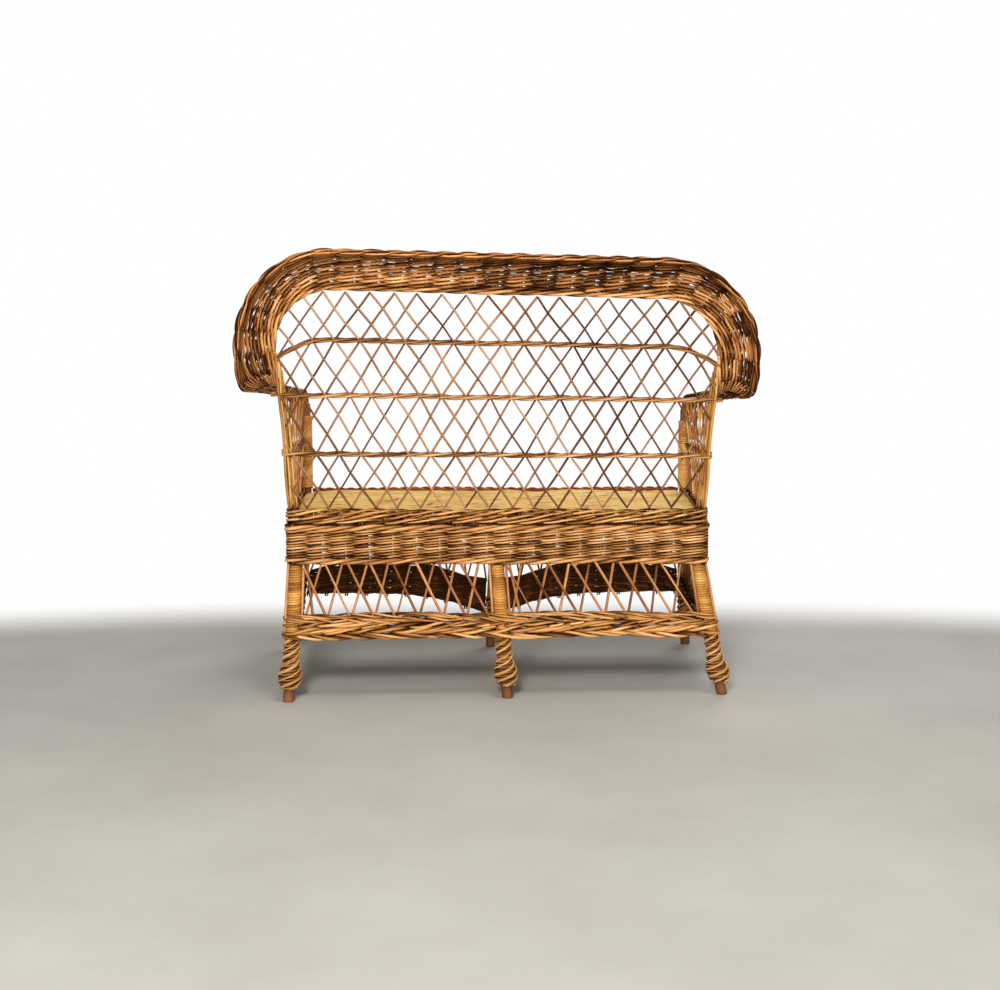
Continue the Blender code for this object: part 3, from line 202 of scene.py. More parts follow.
class Graph:
    """Nodes of one material, group or world. Kinds are named without the prefix that all share."""

    def __init__(self, tree):
        self.tree = tree

    def feed(self, socket, value):
        """Wire a socket to another one, or set it to a value."""
        if isinstance(value, bpy.types.NodeSocket):
            self.tree.links.new(value, socket)
        else:
            socket.default_value = value

    def fill(self, node, values):
        for title, value in values.items():
            self.feed(node.inputs[title], value)

    def add(self, kind, *inputs, **values):
        """Add a node, with inputs in their order; named values are its properties or inputs."""
        node = self.tree.nodes.new("ShaderNode" + kind)
        for key, value in values.items():
            if key in node.inputs.keys():
                self.feed(node.inputs[key], value)
            else:
                setattr(node, key, value)
        for socket, value in zip(node.inputs, inputs):
            self.feed(socket, value)
        return node

    def calc(self, operation, a, b=0.0, c=0.0, clamp=False):
        return self.add("Math", a, b, c, operation=operation, use_clamp=clamp).outputs[0]

    def mix(self, factor, a, b):
        node = self.add("Mix", factor, data_type="RGBA")
        self.feed(node.inputs[6], a)
        self.feed(node.inputs[7], b)
        return node.outputs[2]

    def ramp(self, value, *limits, **values):
        """Carry a value from one span to another: from, to, and then the new ends."""
        return self.add("MapRange", value, *limits, **values).outputs[0]

    def noise(self, spot, scale, detail, rough=0.5):
        return self.add("TexNoise", Vector=spot, Scale=scale, Detail=detail, Roughness=rough).outputs[0]

    def spot(self, x, y):
        return self.add("CombineXYZ", x, y).outputs[0]

    def stretch(self, spot, scale):
        return self.add("Mapping", Vector=spot, Scale=scale).outputs[0]

    def place(self):
        return self.add("TexCoord").outputs["Object"]

    def along_cane(self):
        """Running length along the cane, and the share of the way round it."""
        return self.add("SeparateXYZ", self.add("UVMap", uv_map="cane").outputs[0]).outputs

    def held(self, title):
        return self.add("Attribute", attribute_name=title).outputs["Fac"]

    def bump(self, strength, height):
        return self.add("Bump", Strength=strength, Distance=BUMP_DEPTH, Height=height).outputs[0]

    def seen(self):
        """A mask of what the camera sees, also in a mirror or through glass."""
        rays = self.add("LightPath").outputs
        seen = self.calc("MAXIMUM", rays["Is Camera Ray"], rays["Is Glossy Ray"])
        return self.calc("MAXIMUM", seen, rays["Is Transmission Ray"])


def group(name, inputs, outputs):
    """A group of nodes, with the value that each input has by itself and the kind of each output."""
    made = bpy.data.node_groups.new(name, "ShaderNodeTree")
    for title, value in inputs.items():
        kind = "NodeSocketColor" if isinstance(value, tuple) else "NodeSocketFloat"
        made.interface.new_socket(title, in_out="INPUT", socket_type=kind).default_value = value
    for title, kind in outputs.items():
        made.interface.new_socket(title, in_out="OUTPUT", socket_type=kind)
    return Graph(made), made.nodes.new("NodeGroupInput").outputs, made.nodes.new("NodeGroupOutput")


def new_material(name):
    made = bpy.data.materials.new(name)
    made.use_nodes = True
    return made, Graph(made.node_tree), made.node_tree.nodes["Principled BSDF"]


def srgb(red, green, blue):
    """A colour as seen on screen, 0 to 255, as the linear colour that a shader takes."""
    def linear(v):
        v = v / 255
        return v / 12.92 if v <= 0.04045 else ((v + 0.055) / 1.055) ** 2.4
    return (linear(red), linear(green), linear(blue), 1.0)


def make_fibre_group():
    """Long fibres and fine pits along a cane."""
    graph, given, result = group("cane fibre", {"Length": 55.0, "Count": 9.0},
                                 {"Fibre": "NodeSocketFloat", "Height": "NodeSocketFloat"})
    along = graph.along_cane()
    u = graph.calc("MULTIPLY", along[0], given["Length"])
    v = graph.calc("MULTIPLY", along[1], given["Count"])
    fibre = graph.noise(graph.spot(u, v), 1.0, 3.0, 0.6)
    fine = graph.spot(graph.calc("MULTIPLY", u, 2.6), graph.calc("MULTIPLY", v, 3.0))
    pits = graph.noise(fine, 1.0, 2.0)
    graph.fill(result, {"Fibre": fibre, "Height": graph.calc("MULTIPLY_ADD", pits, 0.35, fibre)})
    return graph.tree


def make_colour_and_shade_group():
    """Colour of old varnished cane: differs from cane to cane and along each, with painted shade in the
    hollows and on the flanks of each cane.
    """
    graph, given, result = group("cane colour with painted shade", {
        "Light": (0.7, 0.4, 0.1, 1), "Middle": (0.5, 0.25, 0.06, 1), "Dark": (0.1, 0.03, 0.01, 1),
        "Spread": 0.6, "Blotch Scale": 9.0, "Blotches": 0.5, "Hollow Shade": 0.5, "Fibre": 0.5, "Flank Shade": 0.3},
        {"Colour": "NodeSocketColor", "Wear And Shade": "NodeSocketFloat"})

    def swing(value):
        return graph.calc("SUBTRACT", value, 0.5)

    blotch = graph.noise(graph.place(), given["Blotch Scale"], 4.0, 0.62)
    along = graph.along_cane()
    tone, hollow = graph.held("tone"), graph.held("hollow")
    streak_at = graph.spot(graph.calc("MULTIPLY", along[0], 11.0), graph.calc("MULTIPLY", tone, 53.0))
    streak = graph.noise(streak_at, 1.0, 2.0)
    value = graph.calc("MULTIPLY_ADD", swing(tone), given["Spread"], 0.5)
    for change, strength in ((swing(blotch), given["Blotches"]), (swing(streak), 0.7),
                             (swing(given["Fibre"]), 0.45)):
        value = graph.calc("MULTIPLY_ADD", change, strength, value)
    # Painted shade where the cane lies deep in the weave.
    value = graph.calc("SUBTRACT", value, graph.calc("MULTIPLY", hollow, given["Hollow Shade"]))
    # Painted shade on the two flanks of each cane, where it meets its neighbours.
    round_it = graph.calc("SINE", graph.calc("MULTIPLY", along[1], FULL_TURN))
    flank = graph.calc("SUBTRACT", 1.0, graph.calc("ABSOLUTE", round_it))
    flank = graph.calc("POWER", graph.calc("MAXIMUM", flank, 0.0), 1.4)
    flank = graph.calc("MULTIPLY", flank, given["Flank Shade"])
    value = graph.calc("SUBTRACT", value, flank, clamp=True)
    colour = graph.mix(graph.ramp(value, 0.0, 0.5), given["Dark"], given["Middle"])
    colour = graph.mix(graph.ramp(value, 0.5, 1.0), colour, given["Light"])
    graph.fill(result, {"Colour": colour, "Wear And Shade": value})
    return graph.tree


FIBRE = make_fibre_group()
COLOUR_AND_SHADE = make_colour_and_shade_group()


def cane_finish(slot, name, light, middle, dark, spread=0.6, blotches=0.5, hollow=0.5, rough=(0.75, 0.38),
                bump=0.25, coat=0.0, sheen=0.40, length=55.0, count=9.0, scale=9.0, flank_shade=0.3):
    """Material of one kind of cane and its slot. The three colours are as seen on screen."""
    made, graph, shader = new_material(name)
    fibre = graph.add("Group", node_tree=FIBRE)
    graph.fill(fibre, {"Length": length, "Count": count})
    shaded_colour = graph.add("Group", node_tree=COLOUR_AND_SHADE)
    graph.fill(shaded_colour, {"Light": srgb(*light), "Middle": srgb(*middle), "Dark": srgb(*dark), "Spread": spread,
                      "Blotch Scale": scale, "Blotches": blotches, "Hollow Shade": hollow,
                      "Fibre": fibre.outputs["Fibre"], "Flank Shade": flank_shade})
    # The group's value is the cane's own tone less the painted shade; roughness and shine follow it, so
    # shaded parts are also duller.
    wear_and_shade = shaded_colour.outputs["Wear And Shade"]
    graph.fill(shader, {"Base Color": shaded_colour.outputs["Colour"], "Roughness": graph.ramp(wear_and_shade, 0.0, 1.0, *rough),
                        "Normal": graph.bump(bump, fibre.outputs["Height"]),
                        "Specular IOR Level": graph.ramp(wear_and_shade, 0.2, 0.75, 0.02, sheen),
                        "Coat Weight": coat, "Coat Roughness": 0.25})
    return made, slot


# Strengths of painted shade: hollow for the hollows of the weave, the flank value for the flanks of each
# cane.
WOVEN = {"rough": (0.80, 0.32), "sheen": 0.55}
OPEN = {"hollow": 0.2, "scale": 14.0}
WOUND = {"spread": 0.38, "blotches": 0.65, "hollow": 0.2, "rough": (0.55, 0.28), "bump": 0.12, "coat": 0.12,
         "sheen": 0.45, "flank_shade": 0.50}
WILLOW = cane_finish("willow", "woven willow", (255, 220, 158), (212, 146, 80), (52, 24, 10),
                     spread=0.52, blotches=0.44, hollow=0.52, flank_shade=0.58, **WOVEN)
BRAID_WILLOW = cane_finish("willow", "plaited willow", (255, 218, 152), (218, 152, 82), (70, 34, 14),
                           spread=0.52, blotches=0.44, hollow=0.42, flank_shade=0.46, **WOVEN)
ROLL_WILLOW = cane_finish("willow", "rolled edge willow", (255, 212, 144), (202, 132, 68), (56, 27, 12),
                          spread=0.54, blotches=0.52, hollow=0.42, flank_shade=0.44, **WOVEN)
# Apron willow, darker and redder: partly a real stain, partly painted shade for the shade it lies in under
# the seat.
DARK_WILLOW = cane_finish("willow", "stained and shade-darkened willow", (238, 174, 108), (186, 122, 70), (100, 62, 36),
                          hollow=0.6)
BAND_WILLOW = cane_finish("willow", "back band willow", (244, 200, 136), (190, 134, 78), (92, 52, 24),
                          spread=0.55, hollow=0.34, sheen=0.55, flank_shade=0.56)
LATTICE = cane_finish("lattice_cane", "lattice cane", (206, 154, 104), (150, 100, 62), (78, 46, 26),
                      spread=0.7, blotches=0.8, sheen=0.55, flank_shade=0.42, **OPEN)
SKIRT_CANE = cane_finish("lattice_cane", "skirt cane", (226, 166, 106), (178, 116, 68), (92, 50, 26),
                         blotches=0.6, **OPEN)
ARM_CANE = cane_finish("lattice_cane", "arm cane", (255, 206, 132), (224, 152, 84), (112, 60, 26),
                       blotches=0.6, sheen=0.55, flank_shade=0.40, **OPEN)
STAKE = cane_finish("lattice_cane", "pale stake cane", (236, 190, 112), (206, 148, 74), (112, 64, 26),
                    spread=0.5)
FLAT_CANE = cane_finish("flat_cane", "glossy flat cane", (246, 196, 110), (212, 149, 68), (116, 64, 24),
                        **WOUND)
# Post wraps take a paler copy of the glossy flat cane: painted light on the inner faces of the posts.
POST_CANE = cane_finish("flat_cane", "flat cane with painted light", (255, 216, 138), (232, 172, 92), (138, 82, 36),
                        **WOUND)
RED_CANE = cane_finish("red_cane", "reddish cane", (222, 152, 88), (168, 96, 48), (84, 40, 20), flank_shade=0.6)
BARE_WOOD = cane_finish("bare_wood", "bare wood", (158, 106, 68), (130, 82, 50), (68, 38, 22), spread=0.3,
                        rough=(0.75, 0.6), length=24.0, count=26.0, bump=0.3)


def rush_finish():
    made, graph, shader = new_material("woven rush")
    place = graph.place()
    grain = graph.noise(graph.stretch(place, (5.0, 70.0, 40.0)), 3.0, 5.0, 0.65)
    patches = graph.noise(graph.stretch(place, (1.0, 4.0, 4.0)), 4.0, 3.0)
    value = graph.calc("MULTIPLY_ADD", grain, 0.9, -0.2)
    value = graph.calc("MULTIPLY_ADD", patches, 0.5, value)
    # Painted shade between the rush rows and in the troughs of the puckers.
    value = graph.calc("MULTIPLY_ADD", graph.held("hollow"), -0.45, value, clamp=True)
    colour = graph.mix(value, srgb(184, 132, 58), srgb(255, 226, 140))
    # Dark brown along splits in the rush, and painted shade along its creases.
    graph.fill(shader, {"Base Color": graph.mix(graph.held("tone"), colour, srgb(104, 56, 20)),
                        "Roughness": graph.ramp(value, 0.0, 1.0, 0.75, 0.55), "Specular IOR Level": 0.2,
                        "Normal": graph.bump(0.3, grain)})
    return made, "rush"


RUSH = rush_finish()


# Lines that the weaving follows
def side_x(y):
    return REAR_HALF + (FRONT_HALF - REAR_HALF) * (REAR_Y - np.asarray(y)) / SEAT_DEPTH


def track(corners, radius, closed, step=0.003):
    """Plan line with rounded corners: points, outward directions and running length."""
    corners = np.asarray(corners, float)
    count = len(corners)
    line = []
    for k in range(count):
        here = corners[k]
        if not closed and k in (0, count - 1):
            line.append(here[None, :])
            continue
        before = here + unit(corners[k - 1] - here) * radius
        after = here + unit(corners[(k + 1) % count] - here) * radius
        line.append(bend_line(before, here, after, np.linspace(0, 1, 12)[:, None]))
    line = np.concatenate(line)
    if closed:
        line = np.concatenate([line, line[:1]])
    run = run_along(line)
    even = np.linspace(0, run[-1], int(run[-1] / step))
    line = np.stack([np.interp(even, run, line[:, k]) for k in range(2)], axis=-1)
    ahead = unit(np.gradient(line, axis=0))
    return line, np.stack([ahead[:, 1], -ahead[:, 0]], axis=-1), even


def on_track(rail):
    line, out, run = rail

    def place(s, z, n):
        x = np.interp(s, run, line[:, 0]) + np.interp(s, run, out[:, 0]) * n
        y = np.interp(s, run, line[:, 1]) + np.interp(s, run, out[:, 1]) * n
        return vec(x, y, z)

    return place


def nearest_run(rail, point):
    return rail[2][np.argmin(np.linalg.norm(rail[0] - np.asarray(point), axis=1))]


ROD_LENGTH = 0.70


def twine(bundle, place, start, end, level, pitch, strands, radius, depth, rise, number, hand=1,
          waver=0.0008, step=0.0042, sides=6, shift=0.0, loose=0.18, light_and_shade=None):
    """Strands twisted about each other along a line, one turn for as many stakes as strands."""
    s = np.linspace(start, end, max(int((end - start) / step), 6))
    level, depth, radius = (given(s) if callable(given) else given for given in (level, depth, radius))
    # Painted light and shade along the line, if given, is added to the hollow shade of every strand.
    painted_lighting = light_and_shade(s) if light_and_shade else 0.0
    for k in range(strands):
        phase = FULL_TURN * ((s - shift) / (pitch * strands) + k / strands)
        phase = phase + loose * np.sin(s * 13 + number * 2.1 + k * 1.7)
        front = np.cos(phase)
        flat = np.sign(front) * np.abs(front) ** 0.5
        up = level + hand * rise * np.sin(phase) + wander(s, number, waver)
        path = place(s, up, depth * flat)
        lean = place(s, up, depth * flat + 0.01) - path
        size = radius * (1 + 0.09 * math.sin(number * 3.1 + k * 2.3))
        size = size * (1 + 0.05 * np.sin(s * 23 + k * 2 + number))
        rod = np.floor(s / ROD_LENGTH + lot(number * 7.0 + k)) * 3.0 + number * 11.0 + k
        # Painted shade where the strand dips behind the stakes.
        bundle.cane(path, size, lean, sides, hollow=0.5 - 0.5 * front + painted_lighting, tone=lot(rod),
                    run=s + number * 1.7 + k * 0.9)


def straight(bundle, a, b, radius, lean, steps=8, bow=0.0, **more):
    t = np.linspace(0, 1, steps)
    path = blend(np.asarray(a, float)[None, :], np.asarray(b, float)[None, :], t)
    path = path + np.asarray(lean, float) * (bow * np.sin(math.pi * t))[:, None]
    bundle.cane(path, radius, lean, **more)


def upright(bundle, place, spots, low, high, count, spread, radius, hollow, lean=(1.0, 0.3, 0)):
    """Stakes side by side at every spot along a line, deep in the weave, with painted hollow shade."""
    z = np.linspace(low, high, count)
    for s in spots:
        for off in spread:
            stake = place(np.full(count, s + off), z, np.zeros(count))
            bundle.cane(stake, radius, lean, hollow=hollow)


def loose_tips(bundle, place, start, end, every, room, low, spread, length, rise, lift, out, radius):
    """Ends of strands that stand out of a plait here and there."""
    t = np.linspace(0, 1, 6)
    for j in range(int((end - start) / every)):
        s = start + (j + bundle.chance.random()) * every
        if s < end - room:
            z = low + spread * bundle.chance.random()
            path = place(s + length * t, z + rise * t, lift(s) + out * t)
            bundle.cane(path, radius, (0.2, 0.1, 1.0))


# Legs
def knee(side, y):
    return np.array([side * (side_x(y) - LEG_INSET), y])


def foot(side, half, shift, y):
    x = side * half + shift
    return np.array([x * math.cos(FOOT_TWIST) - y * math.sin(FOOT_TWIST),
                     x * math.sin(FOOT_TWIST) + y * math.cos(FOOT_TWIST)])


LEG_REAR_Y, LEG_FRONT_Y = REAR_Y - LEG_INSET, FRONT_Y + LEG_INSET
LEGS = {}
for row, leg_y, half, shift, foot_y in (("rear", LEG_REAR_Y, 0.4665, -0.006, 0.266),
                                        ("front", LEG_FRONT_Y, 0.495, 0.0, -0.228)):
    for place_name, side in (("left", 1), ("centre", 0), ("right", -1)):
        LEGS[row + "_" + place_name] = (foot(side, half, shift, foot_y), knee(side, leg_y))
POST_X = LEGS["front_left"][1][0]


def leg_axis(leg, z):
    low, high = LEGS[leg]
    z = np.atleast_1d(np.asarray(z, float))
    spot = blend(low[None, :], high[None, :], np.clip(z / BAND_BOTTOM, 0, 1))
    return vec(spot[:, 0], spot[:, 1], z)


def core_radius(z):
    low, high = PEG_HEIGHT, BRAID_BOTTOM - 0.0005
    below = ease(0.25 + 0.75 * (z - low) / (BULB_HEIGHT - low))
    above = np.maximum(ease(1 - (z - BULB_HEIGHT) / 0.046), 0.14)
    swell = np.where(z < BULB_HEIGHT, below, above)
    swell = np.where((z <= low) | (z >= high), 0.0, swell)
    return POLE + (BULB - POLE) * swell


def wind(bundle, leg, low, high, pitch, reach, radius, start, per_turn, **more):
    """Wind a cane up a leg; reach gives the winding's middle radius at a height."""
    turns = (high - low) / pitch
    t = np.linspace(0, turns, max(int(turns * per_turn), 8))
    angle = FULL_TURN * t + start
    z = low + pitch * t
    out = vec(np.cos(angle), np.sin(angle), 0.0)
    bundle.cane(leg_axis(leg, z) + out * np.asarray(reach(z))[:, None], radius, out, **more)


BACK_OUT = np.array([0, math.cos(LEAN), -math.sin(LEAN)])


def back_point(x, up, w=0.0):
    x, up, w = np.broadcast_arrays(np.asarray(x, float), up, w)
    rise = up + SKEW * x * up / BACK_UP
    foot_y = REAR_Y - PLAIT_THICK / 2
    foot_z = PLAIT_TOP + GAP + 0.006 * math.sin(LEAN)
    return vec(x, foot_y + rise * math.sin(LEAN) + w * math.cos(LEAN),
               foot_z + rise * math.cos(LEAN) - w * math.sin(LEAN))


def arm_rear(sign):
    return back_point(sign * SIDE_HALF, ARM_UP)


def arm_front(sign):
    post = LEGS["front_left" if sign > 0 else "front_right"][1]
    face = POLE + GAP + 0.0040 + WALE + GAP
    return np.array([post[0], post[1] - face, arm_rear(sign)[2] - ARM_DROP])


def arm_bends(sign):
    """Where the arm is straight: after its rear bend, and before its front one."""
    corner, front = arm_rear(sign), arm_front(sign)
    along = unit(front - corner)
    return corner + along * ARM_REAR_BEND, front - along * ARM_FRONT_BEND


POST_TOPS = {"front_" + side: arm_front(sign)[2] - ARM_FRONT_BEND - WALE for side, sign in SIDES}
LEG_RINGS = (0.0, 0.0012, 0.003, 0.012, PEG_HEIGHT, PEG_HEIGHT + 0.001, 0.035, 0.045, 0.056, 0.07,
             0.085, 0.105, 0.126, 0.15, 0.2, 0.25, 0.2855, 0.2865, 0.33)
TIP_RINGS, TIP_SIZES = (0.52, 0.57, 0.66, 0.74), (POLE, 0.0096, 0.0064, 0.003)
FOOT_LANE, FOOT_PITCH, CORD_PITCH, WRAP_PITCH = 0.0058, 0.0174, 0.060, 0.0052


def make_legs():
    for number, leg in enumerate(LEGS):
        top = POST_TOPS.get(leg, RAIL_Z - 0.002 if leg.endswith("centre") else PANEL_BOTTOM - 0.0005)
        z = np.array([*LEG_RINGS, top])
        size = np.where(z <= PEG_HEIGHT, PEG, core_radius(z))
        size[:2] = (PEG - 0.0016, PEG - 0.0004)
        if leg in POST_TOPS:
            z = np.append(z, top + ARM_FRONT_BEND * np.array(TIP_RINGS))
            size = np.append(size, TIP_SIZES)
        bundle = Bundle(100 + number)
        bundle.cane(leg_axis(leg, z), size, (0, 1, 0), sides=20, level=True,
                    tone=0.35 + 0.3 * bundle.chance.random())
        bundle.place(leg + ("_post" if leg in POST_TOPS else "_leg"), "pole", BARE_WOOD)

        bundle = Bundle(120 + number)
        low, high = PEG_HEIGHT + 0.0022, BRAID_BOTTOM + 0.006
        for k in range(3):
            wind(bundle, leg, low + FOOT_LANE * k, high - FOOT_LANE * (2 - k), FOOT_PITCH,
                 lambda z: core_radius(z) + 0.0022 + 0.0005 * np.sin(z * 500 + k), 0.0024, start=number,
                 per_turn=26, tone=0.20 + 0.32 * bundle.chance.random(), hollow=0.32)
        for k in range(4):
            for pair in (0.0, 0.0040):
                wind(bundle, leg, low + 0.001, high - pair, CORD_PITCH, lambda z: core_radius(z) + 0.0050,
                     0.0012 + 0.0004 * bundle.chance.random(), per_turn=44,
                     start=number + k * 1.571 + pair * 70 + 0.3 * bundle.chance.random(),
                     tone=0.64 + 0.30 * bundle.chance.random())
        bundle.place(leg + "_foot_winding", "cane", WILLOW)

        spans = [(leg + "_leg_wrap", FLAT_CANE, BRAID_BOTTOM + 0.002, BAND_BOTTOM - 0.0005)]
        if leg in POST_TOPS:
            name = leg.replace("front_", "") + "_post_wrap"
            spans.append((name, POST_CANE, PLAIT_TOP - 0.004, top - 0.0005))
        for name, finish, low, high in spans:
            bundle = Bundle(140 + number)
            z = low
            while z < high - WRAP_PITCH:
                stop = min(z + WRAP_PITCH * bundle.chance.integers(3, 7), high)
                wind(bundle, leg, z, stop, WRAP_PITCH, lambda z: POLE + 0.0027 + 0 * z, 0.0031, squash=0.50,
                     start=(z - low) / WRAP_PITCH * FULL_TURN + number, sides=8, per_turn=20)
                z = stop
            bundle.place(name, "cane", finish)


def make_rails():
    def bar(node, a, b):
        bundle = Bundle(len(node) * 7)
        straight(bundle, a, b, RAIL_RADIUS, (0, 0, 1), sides=18)
        bundle.place(node, "pole", BARE_WOOD)

    def at(leg, z):
        return np.array([*LEGS[leg][1], z])

    for row in ("rear", "front"):
        reach = np.array([POLE + GAP, 0, 0])
        bar(row + "_rail", at(row + "_left", RAIL_Z) - reach, at(row + "_right", RAIL_Z) + reach)
    for side in ("left", "right"):
        a, b = at("rear_" + side, SIDE_RAIL_Z), at("front_" + side, SIDE_RAIL_Z)
        along = unit(b - a) * (POLE + GAP)
        bar(side + "_rail", a + along, b - along)
    inset = RAIL_RADIUS + GAP
    bar("centre_rail", (CENTRE_RAIL_X, LEG_REAR_Y - inset, RAIL_Z),
        (CENTRE_RAIL_X, LEG_FRONT_Y + inset, RAIL_Z))


# Woven bands round the seat
def make_seat_bands():
    half = BAND_THICK / 2
    rear, front = REAR_HALF - half, FRONT_HALF - half
    ry, fy = REAR_Y - half, FRONT_Y + half
    rail = track([(front, fy), (rear, ry), (-rear, ry), (-front, fy)], 0.015, True)
    length = rail[2][-1]
    stakes = 2 * round(length / STAKE_PITCH / 2)
    pitch = length / stakes
    place = on_track(rail)
    wale_pitch = length / (3 * round(stakes / 3))
    cut = 0.024
    marks = [nearest_run(rail, (sign * (side_x(y) - half), y))
             for sign, y in ((1, fy + cut), (1, ry - cut), (-1, ry - cut), (-1, fy + cut))]
    spans = {"left": [(marks[0], marks[1])], "rear": [(marks[1], marks[2])],
             "right": [(marks[2], marks[3])], "front": [(marks[3], length), (0.0, marks[0])]}
    for number, (side, parts) in enumerate(spans.items()):
        bundle = Bundle(200 + number)
        for start, end in parts:
            lo = start - SEAM if start > 0 else start
            hi = end + SEAM if end < length else end
            for k in range(10):
                twine(bundle, place, lo, hi, 0.3035 + k * 0.0060, pitch, 2, 0.0025, 0.0044, 0.0019, k)
            for k, level in ((20, BAND_BOTTOM + 0.0075), (21, BAND_TOP - 0.0075)):
                twine(bundle, place, lo, hi, level, wale_pitch, 3, 0.0041, 0.0049, 0.0041, k, waver=0.0015,
                      step=0.006, sides=8)
            spots = [j * pitch for j in range(stakes) if start <= j * pitch < end]
            upright(bundle, place, spots, BAND_BOTTOM + 0.001, BAND_TOP, 5, STAKE_SPREAD, 0.0022, 0.55)
        bundle.place(side + "_seat_band", "weave", WILLOW)


def make_foot_plaits():
    half = PLAIT_THICK / 2
    front_y = LEG_FRONT_Y + POLE + 0.0005
    rear_y = REAR_Y - half
    rear = REAR_HALF - half
    rail = track([(side_x(front_y) - half, front_y), (rear, rear_y), (-rear, rear_y),
                  (half - side_x(front_y), front_y)], 0.020, False)
    place = on_track(rail)
    length = rail[2][-1]
    cut = REAR_Y - (PLAIT_THICK + 0.002)
    marks = [0.0, nearest_run(rail, (side_x(cut) - half, cut)),
             nearest_run(rail, (half - side_x(cut), cut)), length]
    rows = ((PLAIT_BOTTOM + 0.0075, 0.0026, 0.0042), (PLAIT_BOTTOM + 0.0165, 0.0027, 0.0050),
            (PLAIT_TOP - 0.0080, 0.0028, 0.0046))
    for number, (side, start, end) in enumerate(zip(("left", "rear", "right"), marks, marks[1:])):
        bundle = Bundle(240 + number)
        for k, (level, radius, rise) in enumerate(rows):
            twine(bundle, place, start, end, level, PITCH, 3, radius, 0.0068, rise, 30 + k, waver=0.0020)
        spots = [j * PITCH + 0.01 for j in range(int(length / PITCH) + 1) if start <= j * PITCH + 0.01 < end]
        upright(bundle, place, spots, PLAIT_BOTTOM, PLAIT_TOP - 0.004, 4, (-0.0028, 0.0028), 0.0021, 0.7)
        loose_tips(bundle, place, start, end, 0.11, 0.03, PLAIT_BOTTOM + 0.006, 0.010, 0.026, 0.006,
                   lambda s: 0.006, 0.0035, 0.0024)
        bundle.place(side + "_foot_plait", "weave", BRAID_WILLOW)


# Plaited stretcher low on the legs
def make_lower_braids():
    corners = {}
    for z in (BRAID_BOTTOM, BRAID_TOP):
        spots = [leg_axis(leg, z)[0, :2] for leg in ("front_left", "rear_left", "rear_right", "front_right")]
        spots[0] = spots[0] + unit(spots[0] - spots[1]) * 0.014
        spots[3] = spots[3] + unit(spots[3] - spots[2]) * 0.014
        spots[1] = spots[1] + np.array([0.007, 0.005])
        spots[2] = spots[2] + np.array([-0.007, 0.005])
        corners[z] = spots
    low = track(corners[BRAID_BOTTOM], 0.016, False)
    high = track(corners[BRAID_TOP], 0.016, False)
    length = low[2][-1]
    place_low, place_high = on_track(low), on_track(high)

    def place(s, z, n):
        share = (z - BRAID_BOTTOM) / (BRAID_TOP - BRAID_BOTTOM)
        stretch = high[2][-1] / length
        a, b = place_low(s, z, n), place_high(s * stretch, z, n)
        return a + (b - a) * np.broadcast_to(share, np.shape(s))[:, None]

    legs_at = [nearest_run(low, leg_axis(leg, BRAID_BOTTOM)[0, :2])
               for leg in ("front_left", "rear_left", "rear_centre", "rear_right", "front_right")]

    def reach(s):
        close = sum(np.exp(-((s - at) / 0.028) ** 2) for at in legs_at)
        return 0.0078 + 0.0065 * np.clip(close, 0, 1)

    cut = 0.021
    marks = [0.0, legs_at[1] - cut, legs_at[3] + cut, length]
    rows = ((0.1345, 0.0034, 0.0046, -1), (0.1465, 0.0036, 0.0052, 1), (0.1585, 0.0031, 0.0048, 1),
            (0.1690, 0.0028, 0.0042, -1), (0.1768, 0.0024, 0.0034, -1))
    for number, (side, start, end) in enumerate(zip(("left", "rear", "right"), marks, marks[1:])):
        bundle = Bundle(260 + number)
        for k, (level, radius, rise, hand) in enumerate(rows):
            twine(bundle, place, start, end, level, PITCH * 0.84, 4, radius, reach, rise, 40 + k, hand,
                  waver=0.0026, step=0.0050, sides=8 if k < 2 else 6, loose=0.7)
        loose_tips(bundle, place, start, end, 0.085, 0.035, BRAID_BOTTOM + 0.012, 0.032, 0.030, 0.005,
                   lambda s: reach(s) + 0.002, 0.003, 0.0025)
        bundle.place(side + "_lower_braid", "weave", BRAID_WILLOW)


